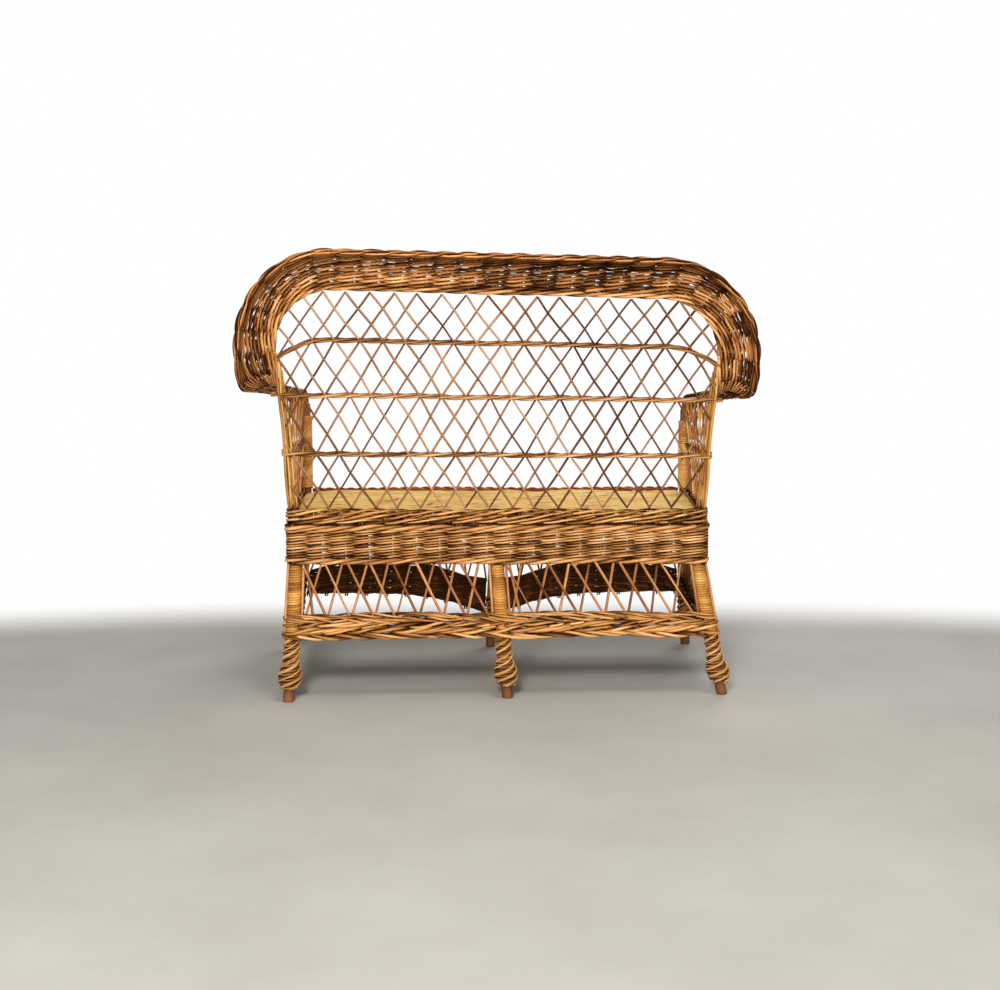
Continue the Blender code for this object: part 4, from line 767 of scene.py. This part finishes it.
# Open canework under the seat
def make_skirts():
    def panel(node, leg_a, leg_b, seed, out, top_a, top_b, count):
        """Canes from the stretcher up to the band, from leg_a on the weaver's left to leg_b."""
        low_z, high_z = BRAID_TOP - 0.012, BAND_BOTTOM + 0.006
        a, b = leg_axis(leg_a, low_z)[0], leg_axis(leg_b, low_z)[0]
        c, d = np.array([*top_a, high_z]), np.array([*top_b, high_z])
        clear = 0.020 / np.linalg.norm(b - a)
        out = np.asarray(out, float)
        bundle = Bundle(seed)
        pitch = 1.0 / count
        drawn = bundle.chance.normal

        def spot(share, high, w):
            low_p, high_p = blend(a, b, share), blend(c, d, share)
            return low_p + (high_p - low_p) * high + out * w

        for j in range(-1, count + 2):
            bottom = (j + 0.5) * pitch + drawn() * 0.04 * pitch
            for slant, w in ((-1.16, 0.0032), (0.72, -0.0032)):
                top = bottom + (slant + drawn() * 0.05) * pitch
                if not (clear < bottom < 1 - clear):
                    continue
                reach = 1.0
                if top < clear:
                    reach = (bottom - clear) / (bottom - top)
                if top > 1 - clear:
                    reach = (1 - clear - bottom) / (top - bottom)
                if reach < 0.25:
                    continue
                end = bottom + (top - bottom) * reach
                straight(bundle, spot(bottom, 0.0, w), spot(end, reach, w), 0.0029 + 0.0003 * drawn(),
                         out, steps=10, bow=0.0015 * drawn())
        for share, slope in ((clear * 0.92, 0.0), (clear * 1.25, 0.35 * pitch), (1 - clear * 0.92, 0.0)):
            straight(bundle, spot(share + slope, 0.0, 0.0), spot(share, 1.0, 0.0), 0.0031, out)
        if not node.startswith("rear"):
            leg = leg_a if leg_a.startswith("rear") else leg_b
            base, head = leg_axis(leg, np.array([BRAID_BOTTOM + 0.012, BAND_BOTTOM + 0.004]))
            aside = out * (POLE + 0.0060) + np.array([0.0, 0.004, 0.0])
            straight(bundle, base + aside, head + aside, 0.0030, (0, 1, 0), bow=0.001, tone=0.85)
        bundle.place(node, "canes", SKIRT_CANE)

    half = BAND_THICK / 2
    middle = (0.0, REAR_Y - half)
    panel("rear_skirt_lattice_left", "rear_left", "rear_centre", 300, (0, 1, 0),
          (LEGS["rear_left"][1][0], REAR_Y - half), middle, 9)
    panel("rear_skirt_lattice_right", "rear_centre", "rear_right", 301, (0, 1, 0),
          middle, (LEGS["rear_right"][1][0], REAR_Y - half), 9)
    for side, sign in SIDES:
        names = ("front_" + side, "rear_" + side)[::sign]
        ends = [(sign * (side_x(y) - half), y) for y in (LEG_FRONT_Y, LEG_REAR_Y)[::sign]]
        panel(side + "_skirt_lattice", *names, 302 + sign, (sign, 0, 0), *ends, 8)


# Woven apron under the front of the seat
def make_aprons():
    clear, stakes, low_z, high_z = 0.017, 9, 0.092, BAND_BOTTOM + 0.006

    def bottom(q):
        return 0.140 - 0.048 * np.exp(-(np.asarray(q) / 0.24) ** 1.5)

    def top(q):
        return 0.170 + 0.042 * ease(np.asarray(q) / 0.45) - 0.020 * ease((np.asarray(q) - 0.82) / 0.18)

    for side, sign in SIDES:
        bundle = Bundle(320 + sign)
        inner, outer = "front_centre", "front_" + side

        def place(q, z, n):
            a, b = leg_axis(inner, z), leg_axis(outer, z)
            share = np.clip((z - low_z) / (BAND_BOTTOM - low_z), 0, 1)
            y, y2 = (leg[:, 1] + (FRONT_Y + BAND_THICK / 2 - leg[:, 1]) * share for leg in (a, b))
            x = a[:, 0] + sign * clear + (b[:, 0] - a[:, 0] - 2 * sign * clear) * q
            return vec(x, y + (y2 - y) * q - n, z)

        width = abs(LEGS[outer][1][0]) - 2 * clear
        pitch = width / stakes

        def run(s, z, n):
            s, z, n = np.broadcast_arrays(s, z, n)
            return place(s / width, z, n)

        for k in range(16):
            offset = 0.0092 + 0.0058 * k
            q = np.linspace(-0.004, 1, 220)
            inside = bottom(q) + offset < top(q) - 0.004
            edges = np.flatnonzero(np.diff(np.concatenate([[0], inside.astype(int), [0]])))
            for i, j in zip(edges[::2], edges[1::2]):
                if j - i > 12:
                    twine(bundle, run, q[i] * width, q[j - 1] * width, lambda s: bottom(s / width) + offset,
                          pitch, 2, 0.0031, 0.0036, 0.0018, 60 + k)
        twine(bundle, run, 0.0, width, lambda s: bottom(s / width) + 0.003, pitch, 3, 0.0034, 0.0040, 0.0034,
              80, sides=7)
        twine(bundle, run, 0.0, width, lambda s: top(s / width), pitch, 3, 0.0028, 0.0036, 0.0028, 81)
        for j in range(stakes + 1):
            q = min(max(j / stakes, 0.012), 0.988)
            upright(bundle, run, [q * width], bottom(q) - 0.009, top(q), 6, (-0.0024, 0.0024), 0.0019, 0.3,
                    (1.0, 0.2, 0))
        t = np.linspace(0, 1, 8)
        for j in range(stakes + 1):
            for way, w in ((0.5, 0.0026), (-0.5, -0.0026)):
                q0, q1 = j / stakes, (j + way) / stakes
                if 0.0 <= q1 <= 1.0:
                    low = top(np.array([q0]))[0] - 0.006
                    bundle.cane(place(q0 + (q1 - q0) * t, low + (high_z - low) * t, w), 0.0025, (0, 1, 0))
        bundle.place("front_apron_" + side, "weave", DARK_WILLOW)


# Seat
RUSH_PITCH, CREASE_PITCH, SEAT_ROUND = 0.0062, 0.056, 0.010


def make_seat():
    rows, cols = 231, 331
    rear, front = REAR_Y - PLAIT_THICK - GAP, FRONT_Y
    notch = LEG_FRONT_Y + POLE + 0.0013
    neck = POST_X - POLE - 0.0005
    v = np.linspace(0, 1, rows)[:, None]
    u = np.linspace(-1, 1, cols)[None, :]
    y = front + (rear - front) * v
    half = np.where(y < notch, neck, side_x(y) - PLAIT_THICK - GAP)
    x = half * u
    y, v = np.broadcast_to(y, x.shape), np.broadcast_to(v, x.shape)
    swell = np.sin(x * 34 + 2.4 * np.sin(y * 17 + x * 3) + 1.5 * np.sin(y * 41 - x * 11) + 0.8)
    warp = (0.0050 * swell + 0.0022 * np.sin(x * 47 + y * 60 + 1.3)
            + 0.0012 * np.sin(x * 110 + y * 150))
    row = (y + warp) / RUSH_PITCH
    ridge = np.abs(np.sin(math.pi * row)) ** 0.7
    number = np.floor(row)
    drawn = lot(number)
    billow = swell * np.sin(y * 19 + x * 5 + 0.6)
    pucker = 0.0026 * billow + 0.0008 * np.sin(x * 61 + drawn * 6)
    edge = np.minimum.reduce([(1 - np.abs(u)) * half, v * (rear - front), (1 - v) * (rear - front)])
    inward = np.clip(edge / SEAT_ROUND, 0, 1)
    roll_off = 0.007 * (1 - np.sqrt(np.clip(1 - (1 - inward) ** 2, 0, 1)))
    top = PANEL_TOP - 0.0032 + 0.0011 * ridge + 0.0013 * (drawn - 0.5) + pucker - roll_off
    low = PANEL_BOTTOM + 0.0018 - 0.0010 * ridge + roll_off * 0.6

    def mound(length):
        """Rises and falls once in every whole length."""
        return np.sin(math.pi * np.modf(length)[0]) ** 2

    length = (x + 0.5 + 0.09 * drawn) / 0.11
    split = lot(number * 6.02 + np.floor(length) * 2.9) > 0.74
    crack_and_crease_shade = split * mound(length) * np.clip(1.55 - 2.0 * ridge, 0, 1)
    # Painted shade along wavy creases, where the folds of the rush would be in shade.
    crease_row = (y + 0.014 * swell + 0.004 * np.sin(x * 97 + y * 31)) / CREASE_PITCH
    crease = np.floor(crease_row) * 3.7
    stretch = (x + 0.5 + 0.3 * lot(crease)) / 0.12
    kept = lot(crease + np.floor(stretch) * 11.3) > 0.40
    slopes = np.gradient(crease_row, (rear - front) / (rows - 1), 2 * neck / (cols - 1))
    steep = np.clip(CREASE_PITCH * np.hypot(*slopes), 0.02, 1)
    deep = np.clip(1.2 - 2.8 * np.abs(np.sin(math.pi * crease_row)) / steep, 0, 1)
    crack_and_crease_shade = np.maximum(crack_and_crease_shade, kept * deep * mound(stretch))

    # The underside has every second point of the top
    coarse = (slice(None, None, 2), slice(None, None, 2))
    above, beneath = vec(x, y, top), vec(x, y, low)[coarse]
    upper = np.arange(rows * cols).reshape(rows, cols)
    under = np.arange(beneath[..., 0].size).reshape(beneath.shape[:2]) + rows * cols

    def sheet(grid):
        corners = [grid[:-1, :-1], grid[:-1, 1:], grid[1:, 1:], grid[1:, :-1]]
        return np.stack(corners, axis=-1).reshape(-1, 4)

    def rim(grid):
        return np.concatenate([grid[0, :-1], grid[:-1, -1], grid[-1, :0:-1], grid[:0:-1, 0]])

    over, below = rim(upper), rim(under)
    wall = np.stack([over[::2], below, np.roll(below, -1), np.roll(over, -2)[::2], over[1::2]], axis=-1)
    faces = sheet(upper).tolist() + sheet(under)[:, ::-1].tolist() + wall.tolist()
    # Painted shade between the rush rows and in the troughs of the puckers.
    hollow = 1 - ridge + 0.45 * np.clip(-billow, 0, 1)
    mesh = make_mesh("seat_panel_rush", np.concatenate([above.reshape(-1, 3), beneath.reshape(-1, 3)]), faces,
                     [True] * len(faces), hollow=np.concatenate([hollow.ravel(), hollow[coarse].ravel()]),
                     tone=np.concatenate([crack_and_crease_shade.ravel(), np.zeros(under.size)]))
    place_piece("seat_panel_rush", mesh, RUSH, "seat_panel")

    bundle = Bundle(340)
    rod_y, rod_z, twist = FRONT_Y - GAP - 0.0048, PANEL_TOP - 0.006 + 0.004, 0.0029
    s = np.linspace(POLE - POST_X, POST_X - POLE, 420)
    for k in range(2):
        turn = s * 118 + k * math.pi
        height = rod_z + 0.0010 + twist * np.sin(turn) + 0.0012 * np.sin(s * 13)
        bundle.cane(vec(s, rod_y + twist * np.cos(turn), height), 0.0043, (0, 0, 1), sides=9)
    bundle.place("seat_front_rod", "canes", RED_CANE)


# Back lattice, twisted bands and corner stakes
LEVEL_MARKS = (0.0, LOWER_UP, MIDDLE_UP, UPPER_UP, BACK_UP - WALE - GAP)
LEVELS = np.concatenate([np.linspace(lo, hi, 3, endpoint=False)
                         for lo, hi in zip(LEVEL_MARKS, LEVEL_MARKS[1:])] + [[LEVEL_MARKS[-1]]])
CROSSED = ((1, 0.0021), (-1, -0.0021))


def back_half(up):
    """Half width of the open back at a height up its slope."""
    up = np.asarray(up, float)
    half = HALF_AT_SEAT + (HALF_AT_ARM - HALF_AT_SEAT) * up / MIDDLE_UP
    half = np.where(up < MIDDLE_UP, half, SIDE_HALF - 0.002)
    rise = np.clip(up - (BACK_UP - SHOULDER), 0, SHOULDER)
    corner = SIDE_HALF - SHOULDER + np.sqrt(np.maximum(SHOULDER ** 2 - rise ** 2, 0))
    return np.where(up > BACK_UP - SHOULDER, corner, half)


def make_back():
    bundle = Bundle(400)
    knots = np.arange(len(LEVELS))
    fine = np.linspace(0, len(LEVELS) - 1, 97)
    up_fine = np.interp(fine, knots, LEVELS)
    for way, w in CROSSED:
        for m in range(-24, 25):
            x_knots = CANE_PHASE + (m + 0.5) * PITCH + way * knots * PITCH / 2
            shake = np.sin(x_knots * 211 + knots * 37) * 0.0014
            x = np.interp(fine, knots, x_knots + shake) + 0.0010 * np.sin(fine * 1.7 + m * 2.1)
            keep = np.abs(x) < back_half(up_fine) + 0.002
            if keep.sum() < 8:
                continue
            x, up = x[keep], up_fine[keep]
            path = back_point(x, up, w + 0.0006 * np.sin(up * 60 + m))
            bundle.cane(path, 0.00240 * (1 + 0.12 * math.sin(m * 5.3 + way)), BACK_OUT)
    bundle.place("back_lattice", "canes", LATTICE)

    bands = (("lower", LOWER_UP, 0.0, 0.012, 0.0), ("middle", MIDDLE_UP, 0.5, 0.012, 0.0),
             ("upper", UPPER_UP, 0.0, 0.004, 0.040))
    for number, (name, level, knot, past, droop) in enumerate(bands):
        bundle = Bundle(410 + number)
        half = float(back_half(level)) + past

        def place(s, up, n):
            x = half - s
            fall = droop * np.clip((np.abs(x) - 0.352) / 0.108, 0, 1) ** 1.9
            return back_point(x, up - fall, n)

        twine(bundle, place, 0.0, 2 * half, level, PITCH, 3, 0.0028, 0.0056, 0.0030, 90 + number,
              waver=0.0012, shift=half - (CANE_PHASE + knot * PITCH), sides=7)
        bundle.place("back_band_" + name, "twist", BAND_WILLOW)

    for side, sign in SIDES:
        bundle = Bundle(420 + sign)
        for k in range(4):
            up = np.linspace(0.0, MIDDLE_UP + 0.085 - 0.012 * k, 14)
            base = HALF_AT_SEAT + 0.009 - 0.0052 * k
            x = base + (SIDE_HALF - 0.003 - 0.004 * k - base) * (up / up[-1])
            x = x + 0.0014 * np.sin(up * 30 + k * 2)
            bundle.cane(back_point(sign * x, up, 0.0035 - 0.0030 * k), 0.0029 - 0.0002 * k, BACK_OUT, sides=7)
        bundle.place(side + "_corner_stakes", "canes", STAKE)


# Rolled edge of the back and the arms
CURL_GROWTH, CURL_STEPS = 1.6, 40
BACK_CURL, SIDE_CURL, ARM_CURL = math.radians(95), math.radians(116), math.radians(85)
ARM_TILT = math.radians(24)
ARM_TAPER, BEND_SHARE = 0.25, 0.55


def roll_half(sign):
    """Stations from the middle of the top to the front end of one arm."""
    rows = []
    for x in np.linspace(0, SIDE_HALF - SHOULDER, 90, endpoint=False):
        rows.append((back_point(sign * x, BACK_UP), (0, math.sin(LEAN), math.cos(LEAN)), BACK_OUT,
                     BACK_CURL, ROLL_WIDTH, "top"))
    for t in np.linspace(0, 1, 40, endpoint=False):
        turn = math.pi / 2 * (1 - t)
        nx, nu = math.cos(turn), math.sin(turn)
        x, up = SIDE_HALF - SHOULDER + SHOULDER * nx, BACK_UP - SHOULDER + SHOULDER * nu
        ahead = back_point(sign * (x + nx * 0.001), up + nu * 0.001) - back_point(sign * x, up)
        rows.append((back_point(sign * x, up), unit(ahead), BACK_OUT,
                     BACK_CURL + (SIDE_CURL - BACK_CURL) * float(ease(t)), ROLL_WIDTH, "shoulder"))
    for up in np.linspace(BACK_UP - SHOULDER, SIDE_START, 10, endpoint=False):
        rows.append((back_point(sign * SIDE_HALF, up), (sign, 0, 0), BACK_OUT,
                     SIDE_CURL, ROLL_WIDTH, "shoulder"))
    start, corner, front = back_point(sign * SIDE_HALF, SIDE_START), arm_rear(sign), arm_front(sign)
    after, before = arm_bends(sign)
    below, end = front - np.array([0, 0, ARM_FRONT_BEND]), front - np.array([0, 0, ARM_END])
    stations = []
    for t in np.linspace(0, 1, 36, endpoint=False):
        stations.append((bend_line(start, corner, after, t), float(ease(t)), 0.0))
    for t in np.linspace(0, 1, 60, endpoint=False):
        stations.append((after + (before - after) * t, 1.0, ARM_TAPER * float(ease((t - 0.5) / 0.5))))
    for t in np.linspace(0, 1, 44):
        bend = min(t / BEND_SHARE, 1.0)
        if bend < 1.0:
            point = bend_line(before, front, below, bend)
        else:
            point = below + (end - below) * (t - BEND_SHARE) / (1 - BEND_SHARE)
        stations.append((point, 1.0, ARM_TAPER + (1 - ARM_TAPER) * float(ease(t / 0.8))))
    ahead = unit(np.gradient(np.array([station[0] for station in stations]), axis=0))
    for tangent, (point, k, narrow) in zip(ahead, stations):
        width = ROLL_WIDTH + (ARM_WIDTH - ROLL_WIDTH) * k
        side, down = np.array([sign, 0.0, 0.0]), np.array([0.0, -tangent[2], tangent[1]])
        tilt = ARM_TILT * k
        rows.append((point, side * math.cos(tilt) - down * math.sin(tilt),
                     side * math.sin(tilt) + down * math.cos(tilt), SIDE_CURL + (ARM_CURL - SIDE_CURL) * k,
                     width + (ARM_END_WIDTH - width) * narrow, "arm"))
    return rows


class Roll:
    """Surface of the rolled edge, by run along its base and width out from it."""

    def __init__(self):
        left, right = roll_half(1), roll_half(-1)
        rows = left[::-1] + right[1:]
        self.kinds = np.array([("left_" if k < len(left) else "right_") + row[5]
                               for k, row in enumerate(rows)])
        self.base, out, back, self.curl, self.width = (
            np.array([np.asarray(row[k], float) for row in rows]) for k in range(5))

        def square(values, to):
            return values - to * np.sum(values * to, axis=1, keepdims=True)

        ahead = unit(np.gradient(self.base, axis=0))
        self.out = unit(square(out, ahead))
        self.back = unit(square(square(back, ahead), self.out))
        self.run = run_along(self.base + self.out * (0.45 * self.width)[:, None])
        angle = self.curl[:, None] * np.linspace(0, 1, CURL_STEPS + 1)[None, :] ** CURL_GROWTH
        lay = np.stack([np.cos(angle), np.sin(angle)], axis=-1)
        mid = (lay[:, 1:] + lay[:, :-1]) / 2
        curve = np.concatenate([np.zeros((len(rows), 1, 2)), np.cumsum(mid, axis=1)], axis=1)
        self.curve = curve / CURL_STEPS

    def at(self, values, s):
        if values.ndim == 1:
            return np.interp(s, self.run, values)
        return np.stack([np.interp(s, self.run, values[:, k]) for k in range(values.shape[1])], axis=-1)

    def place(self, s, share, n):
        """A point at run s, at a share of the width out from the base, lifted by n."""
        s, share, n = np.broadcast_arrays(np.asarray(s, float), share, n)
        spot = np.clip(np.interp(s, self.run, np.arange(len(self.run))), 0, len(self.run) - 1.001)
        low = spot.astype(int)
        mix = (spot - low)[:, None]
        place = np.clip(share, 0, 1) * CURL_STEPS
        cell = np.minimum(place.astype(int), CURL_STEPS - 1)
        inner = (place - cell)[:, None]

        def curve(i):
            return self.curve[i, cell] * (1 - inner) + self.curve[i, cell + 1] * inner

        flat = (curve(low) * (1 - mix) + curve(low + 1) * mix)
        width = self.at(self.width, s)[:, None]
        angle = (self.at(self.curl, s) * np.clip(share, 0, 1) ** CURL_GROWTH)[:, None]
        out, back = unit(self.at(self.out, s)), unit(self.at(self.back, s))
        under = np.minimum(share, 0)[:, None] * width
        normal = back * np.cos(angle) - out * np.sin(angle)
        return (self.at(self.base, s) + out * (flat[:, :1] * width + under) + back * (flat[:, 1:] * width)
                + normal * np.asarray(n)[:, None])


ROLL_LEVELS = (0.092, 0.162, 0.233, 0.306, 0.381, 0.459, 0.540, 0.624, 0.712, 0.802, 0.886)
END_TURNS, END_PITCH, END_LIFT = 3.1, 0.0058, 0.0078


def make_rolls():
    roll = Roll()
    length = roll.run[-1]
    pitch = length / (2 * round(length / STAKE_PITCH / 2))
    top, left, right = (roll.run[np.char.endswith(roll.kinds, kind)]
                        for kind in ("top", "left_arm", "right_arm"))
    marks = (0.0, left.max(), top.min(), top.max(), right.min(), right.max())
    kinds = ("left_arm", "left_shoulder", "top", "right_shoulder", "right_arm")

    def fineness(s):
        return 0.0030 * (roll.at(roll.width, s) / ROLL_WIDTH) ** 0.75

    def place(s, share, n):
        return roll.place(s, share, n * np.clip(roll.at(roll.width, s) / 0.08, 0.5, 1.0))

    def light_and_shade(s):
        """Painted shade right of the middle of the top and down the sides, painted light on the left of the
        top.
        """
        x = roll.at(roll.base, s)[:, 0]
        dark = 0.30 * np.exp(-((x + 0.17) / 0.17) ** 2) + 0.22 * ease((np.abs(x) - 0.40) / 0.05)
        return dark - 0.28 * np.exp(-((x - 0.25) / 0.13) ** 2)

    for number, (kind, start, end) in enumerate(zip(kinds, marks, marks[1:])):
        bundle = Bundle(500 + number)
        for k, level in enumerate(ROLL_LEVELS):
            lo, hi = max(start - SEAM, 0.0), min(end + SEAM, length)
            if k % 2 and kind == "left_arm":
                lo = start + 0.085
            if k % 2 and kind == "right_arm":
                hi = end - 0.085
            rise = (0.0024 + 0.0010 * level) / ROLL_WIDTH
            twine(bundle, place, lo, hi, level, pitch, 2, fineness, 0.0044, rise, 100 + k, waver=0.008,
                  light_and_shade=light_and_shade)
        for k, (level, depth, strands) in enumerate(((0.950, 0.0036, 2), (0.988, 0.0030, 3))):
            twine(bundle, place, start, end, level, pitch, strands, lambda s: 0.8 * fineness(s), depth, 0.018,
                  130 + k, waver=0.006)
        if kind.endswith("arm"):
            twine(bundle, roll.place, start, end, 0.015, pitch, 3, 0.0032, 0.0036, 0.028, 140,
                  waver=0.004, step=0.005, sides=7)
            tail, inward = (0.0, 1) if kind == "left_arm" else (length, -1)
            turn = np.linspace(0, END_TURNS * FULL_TURN, 112)
            s = tail + inward * (0.0024 + END_PITCH * turn / FULL_TURN)
            across = 0.5 - 0.5 * np.cos(turn)
            path = roll.place(s, across, END_LIFT * np.sin(turn))
            ahead = roll.place(s + inward * 0.004, across, END_LIFT * np.sin(turn)) - path
            bundle.cane(path, 0.0030, ahead, sides=8, tone=0.7, run=s + turn * 0.01)
        share = np.linspace(0.0, 0.97, 14)
        for s in (j * pitch for j in range(int(length / pitch) + 1) if start <= j * pitch < end):
            for off in STAKE_SPREAD:
                path = roll.place(min(max(s + off, 0), length), share, 0.0)
                ahead = roll.place(min(s + 0.004, length), share, 0.0) - path
                bundle.cane(path, 0.0021, ahead, hollow=0.7)
        bundle.place(kind + "_roll", "weave", ROLL_WILLOW)

    bundle = Bundle(520)
    twine(bundle, roll.place, marks[1], marks[4], 0.015, pitch, 3, 0.0034, 0.0042, 0.030, 140,
          waver=0.004, step=0.005, sides=8)
    bundle.place("back_top_wale", "rods", WILLOW)


# Canework of the arms
def make_arms():
    for side, sign in SIDES:
        after, before = arm_bends(sign)
        hang = np.array([0, 0, WALE + 0.0005]) * 0.2
        rear_y, front_y = REAR_Y - PLAIT_THICK - 0.006, LEG_FRONT_Y + POLE + 0.0043 + 0.0022
        a, b = (np.array([sign * (side_x(y) - PLAIT_THICK / 2), y, PLAIT_TOP - 0.006])
                for y in (front_y, rear_y))
        c, d = after - hang, before - hang
        width = np.linalg.norm(b - a)
        columns = round(width / ARM_PITCH)
        out = np.array([sign, 0.0, 0.0])

        def place(u, v, n):
            u, v, n = np.broadcast_arrays(np.asarray(u, float), v, n)
            low, high = blend(a, b, u), blend(d, c, u)
            return low + (high - low) * v[:, None] + out * n[:, None]

        bundle = Bundle(600 + sign)
        levels = 6
        fine = np.linspace(0, levels, 40)
        for way, w in CROSSED:
            for m in range(-levels, columns + levels):
                u = (m + 0.5 + way * fine / 2) / columns
                keep = (u > 0.004) & (u < 0.996)
                if keep.sum() > 6:
                    bundle.cane(place(u[keep], fine[keep] / levels, w), 0.0022, out)
        for u in (0.006, 0.994):
            bundle.cane(place(u, np.linspace(0, 1, 8), 0.0), 0.0030, out)
        bundle.place(side + "_arm_lattice", "canes", ARM_CANE)

        bundle = Bundle(610 + sign)
        twine(bundle, lambda s, v, n: place(s / width, v, n), 0.004, width - 0.004, 0.5, width / columns, 2,
              0.0025, 0.0060, 0.011, 95, waver=0.004, sides=7)
        bundle.place(side + "_arm_band", "twist", BAND_WILLOW)


make_legs()
make_rails()
make_seat_bands()
make_foot_plaits()
make_lower_braids()
make_skirts()
make_aprons()
make_seat()
make_back()
make_rolls()
make_arms()


# Floor, light and camera
WHITE = (1, 1, 1, 1)
FLOOR_REACH = 30
FADE_START, FADE_END = 1.40, 1.85


def link_object(name, data):
    made = bpy.data.objects.new(name, data)
    scene.collection.objects.link(made)
    return made


def make_floor():
    mesh = bpy.data.meshes.new("floor")
    corners = [(x * FLOOR_REACH, y * FLOOR_REACH, 0) for x, y in ((-1, -1), (1, -1), (1, 1), (-1, 1))]
    mesh.from_pydata(corners, [], [(0, 1, 2, 3)])
    floor = link_object("floor", mesh)
    paint, graph, shader = new_material("pale floor")
    place = graph.place()
    cloudy = graph.noise(place, 2.2, 6.0, 0.6)
    graph.fill(shader, {"Base Color": graph.mix(cloudy, srgb(144, 139, 130), srgb(180, 176, 167)),
                        "Roughness": 0.8})
    spot = graph.add("Mapping", Vector=place, Location=(0, -0.9, 0)).outputs[0]
    wide = graph.add("VectorMath", spot, (0.5, 1.0, 0.0), operation="MULTIPLY").outputs[0]
    reach = graph.add("VectorMath", wide, operation="LENGTH").outputs["Value"]
    far = graph.ramp(reach, FADE_START, FADE_END, interpolation_type="SMOOTHSTEP")
    white = graph.add("Emission", Color=WHITE, Strength=1.0)
    mixed = graph.add("MixShader", graph.calc("MULTIPLY", far, graph.seen()), shader.outputs[0],
                      white.outputs[0])
    graph.feed(graph.tree.nodes["Material Output"].inputs["Surface"], mixed.outputs[0])
    mesh.materials.append(paint)


def make_world():
    world = bpy.data.worlds.new("studio")
    scene.world = world
    world.use_nodes = True
    graph = Graph(world.node_tree)
    graph.tree.nodes.clear()
    fill = graph.add("Background", Color=(0.97, 0.985, 1.0, 1), Strength=0.16)
    white = graph.add("Background", Color=WHITE, Strength=1.0)
    mixed = graph.add("MixShader", graph.seen(), fill.outputs[0], white.outputs[0])
    graph.add("OutputWorld", mixed.outputs[0])


def make_lamps():
    for name, spot, aim, size, power in (("key lamp", (0.5, 3.3, 2.1), (0, 0, 0.5), 0.8, 122),
                                         ("fill lamp", (-1.2, 4.0, 1.2), (0, 0, 0.5), 2.0, 30),
                                         ("top lamp", (-0.5, 0.9, 3.2), (0, 0, 0.4), 1.3, 46),
                                         ("front lamp", (-1.2, -2.6, 2.2), (0, 0, 0.5), 2.0, 34)):
        light = bpy.data.lights.new(name, "AREA")
        light.shape = "DISK"
        light.size = size
        light.energy = power
        lamp = link_object(name, light)
        lamp.location = spot
        lamp.rotation_euler = (Vector(aim) - Vector(spot)).to_track_quat("-Z", "Y").to_euler()


make_floor()
make_world()
make_lamps()

CAMERA_SPOT = (0.0249, 3.0881, 0.7548)
YAW, TILT = math.radians(0.6183), math.radians(6.4061)
forward = Vector((-math.sin(YAW) * math.cos(TILT), -math.cos(YAW) * math.cos(TILT), -math.sin(TILT)))
right = Vector((-math.cos(YAW), math.sin(YAW), 0))
above = right.cross(forward)
camera = link_object("camera", bpy.data.cameras.new("camera"))
turned = Matrix((right, above, -forward)).transposed().to_4x4()
camera.matrix_world = Matrix.Translation(Vector(CAMERA_SPOT) + Vector(SHIFT)) @ turned
camera.data.lens = 48.43
camera.data.sensor_width = 36.0
scene.camera = camera
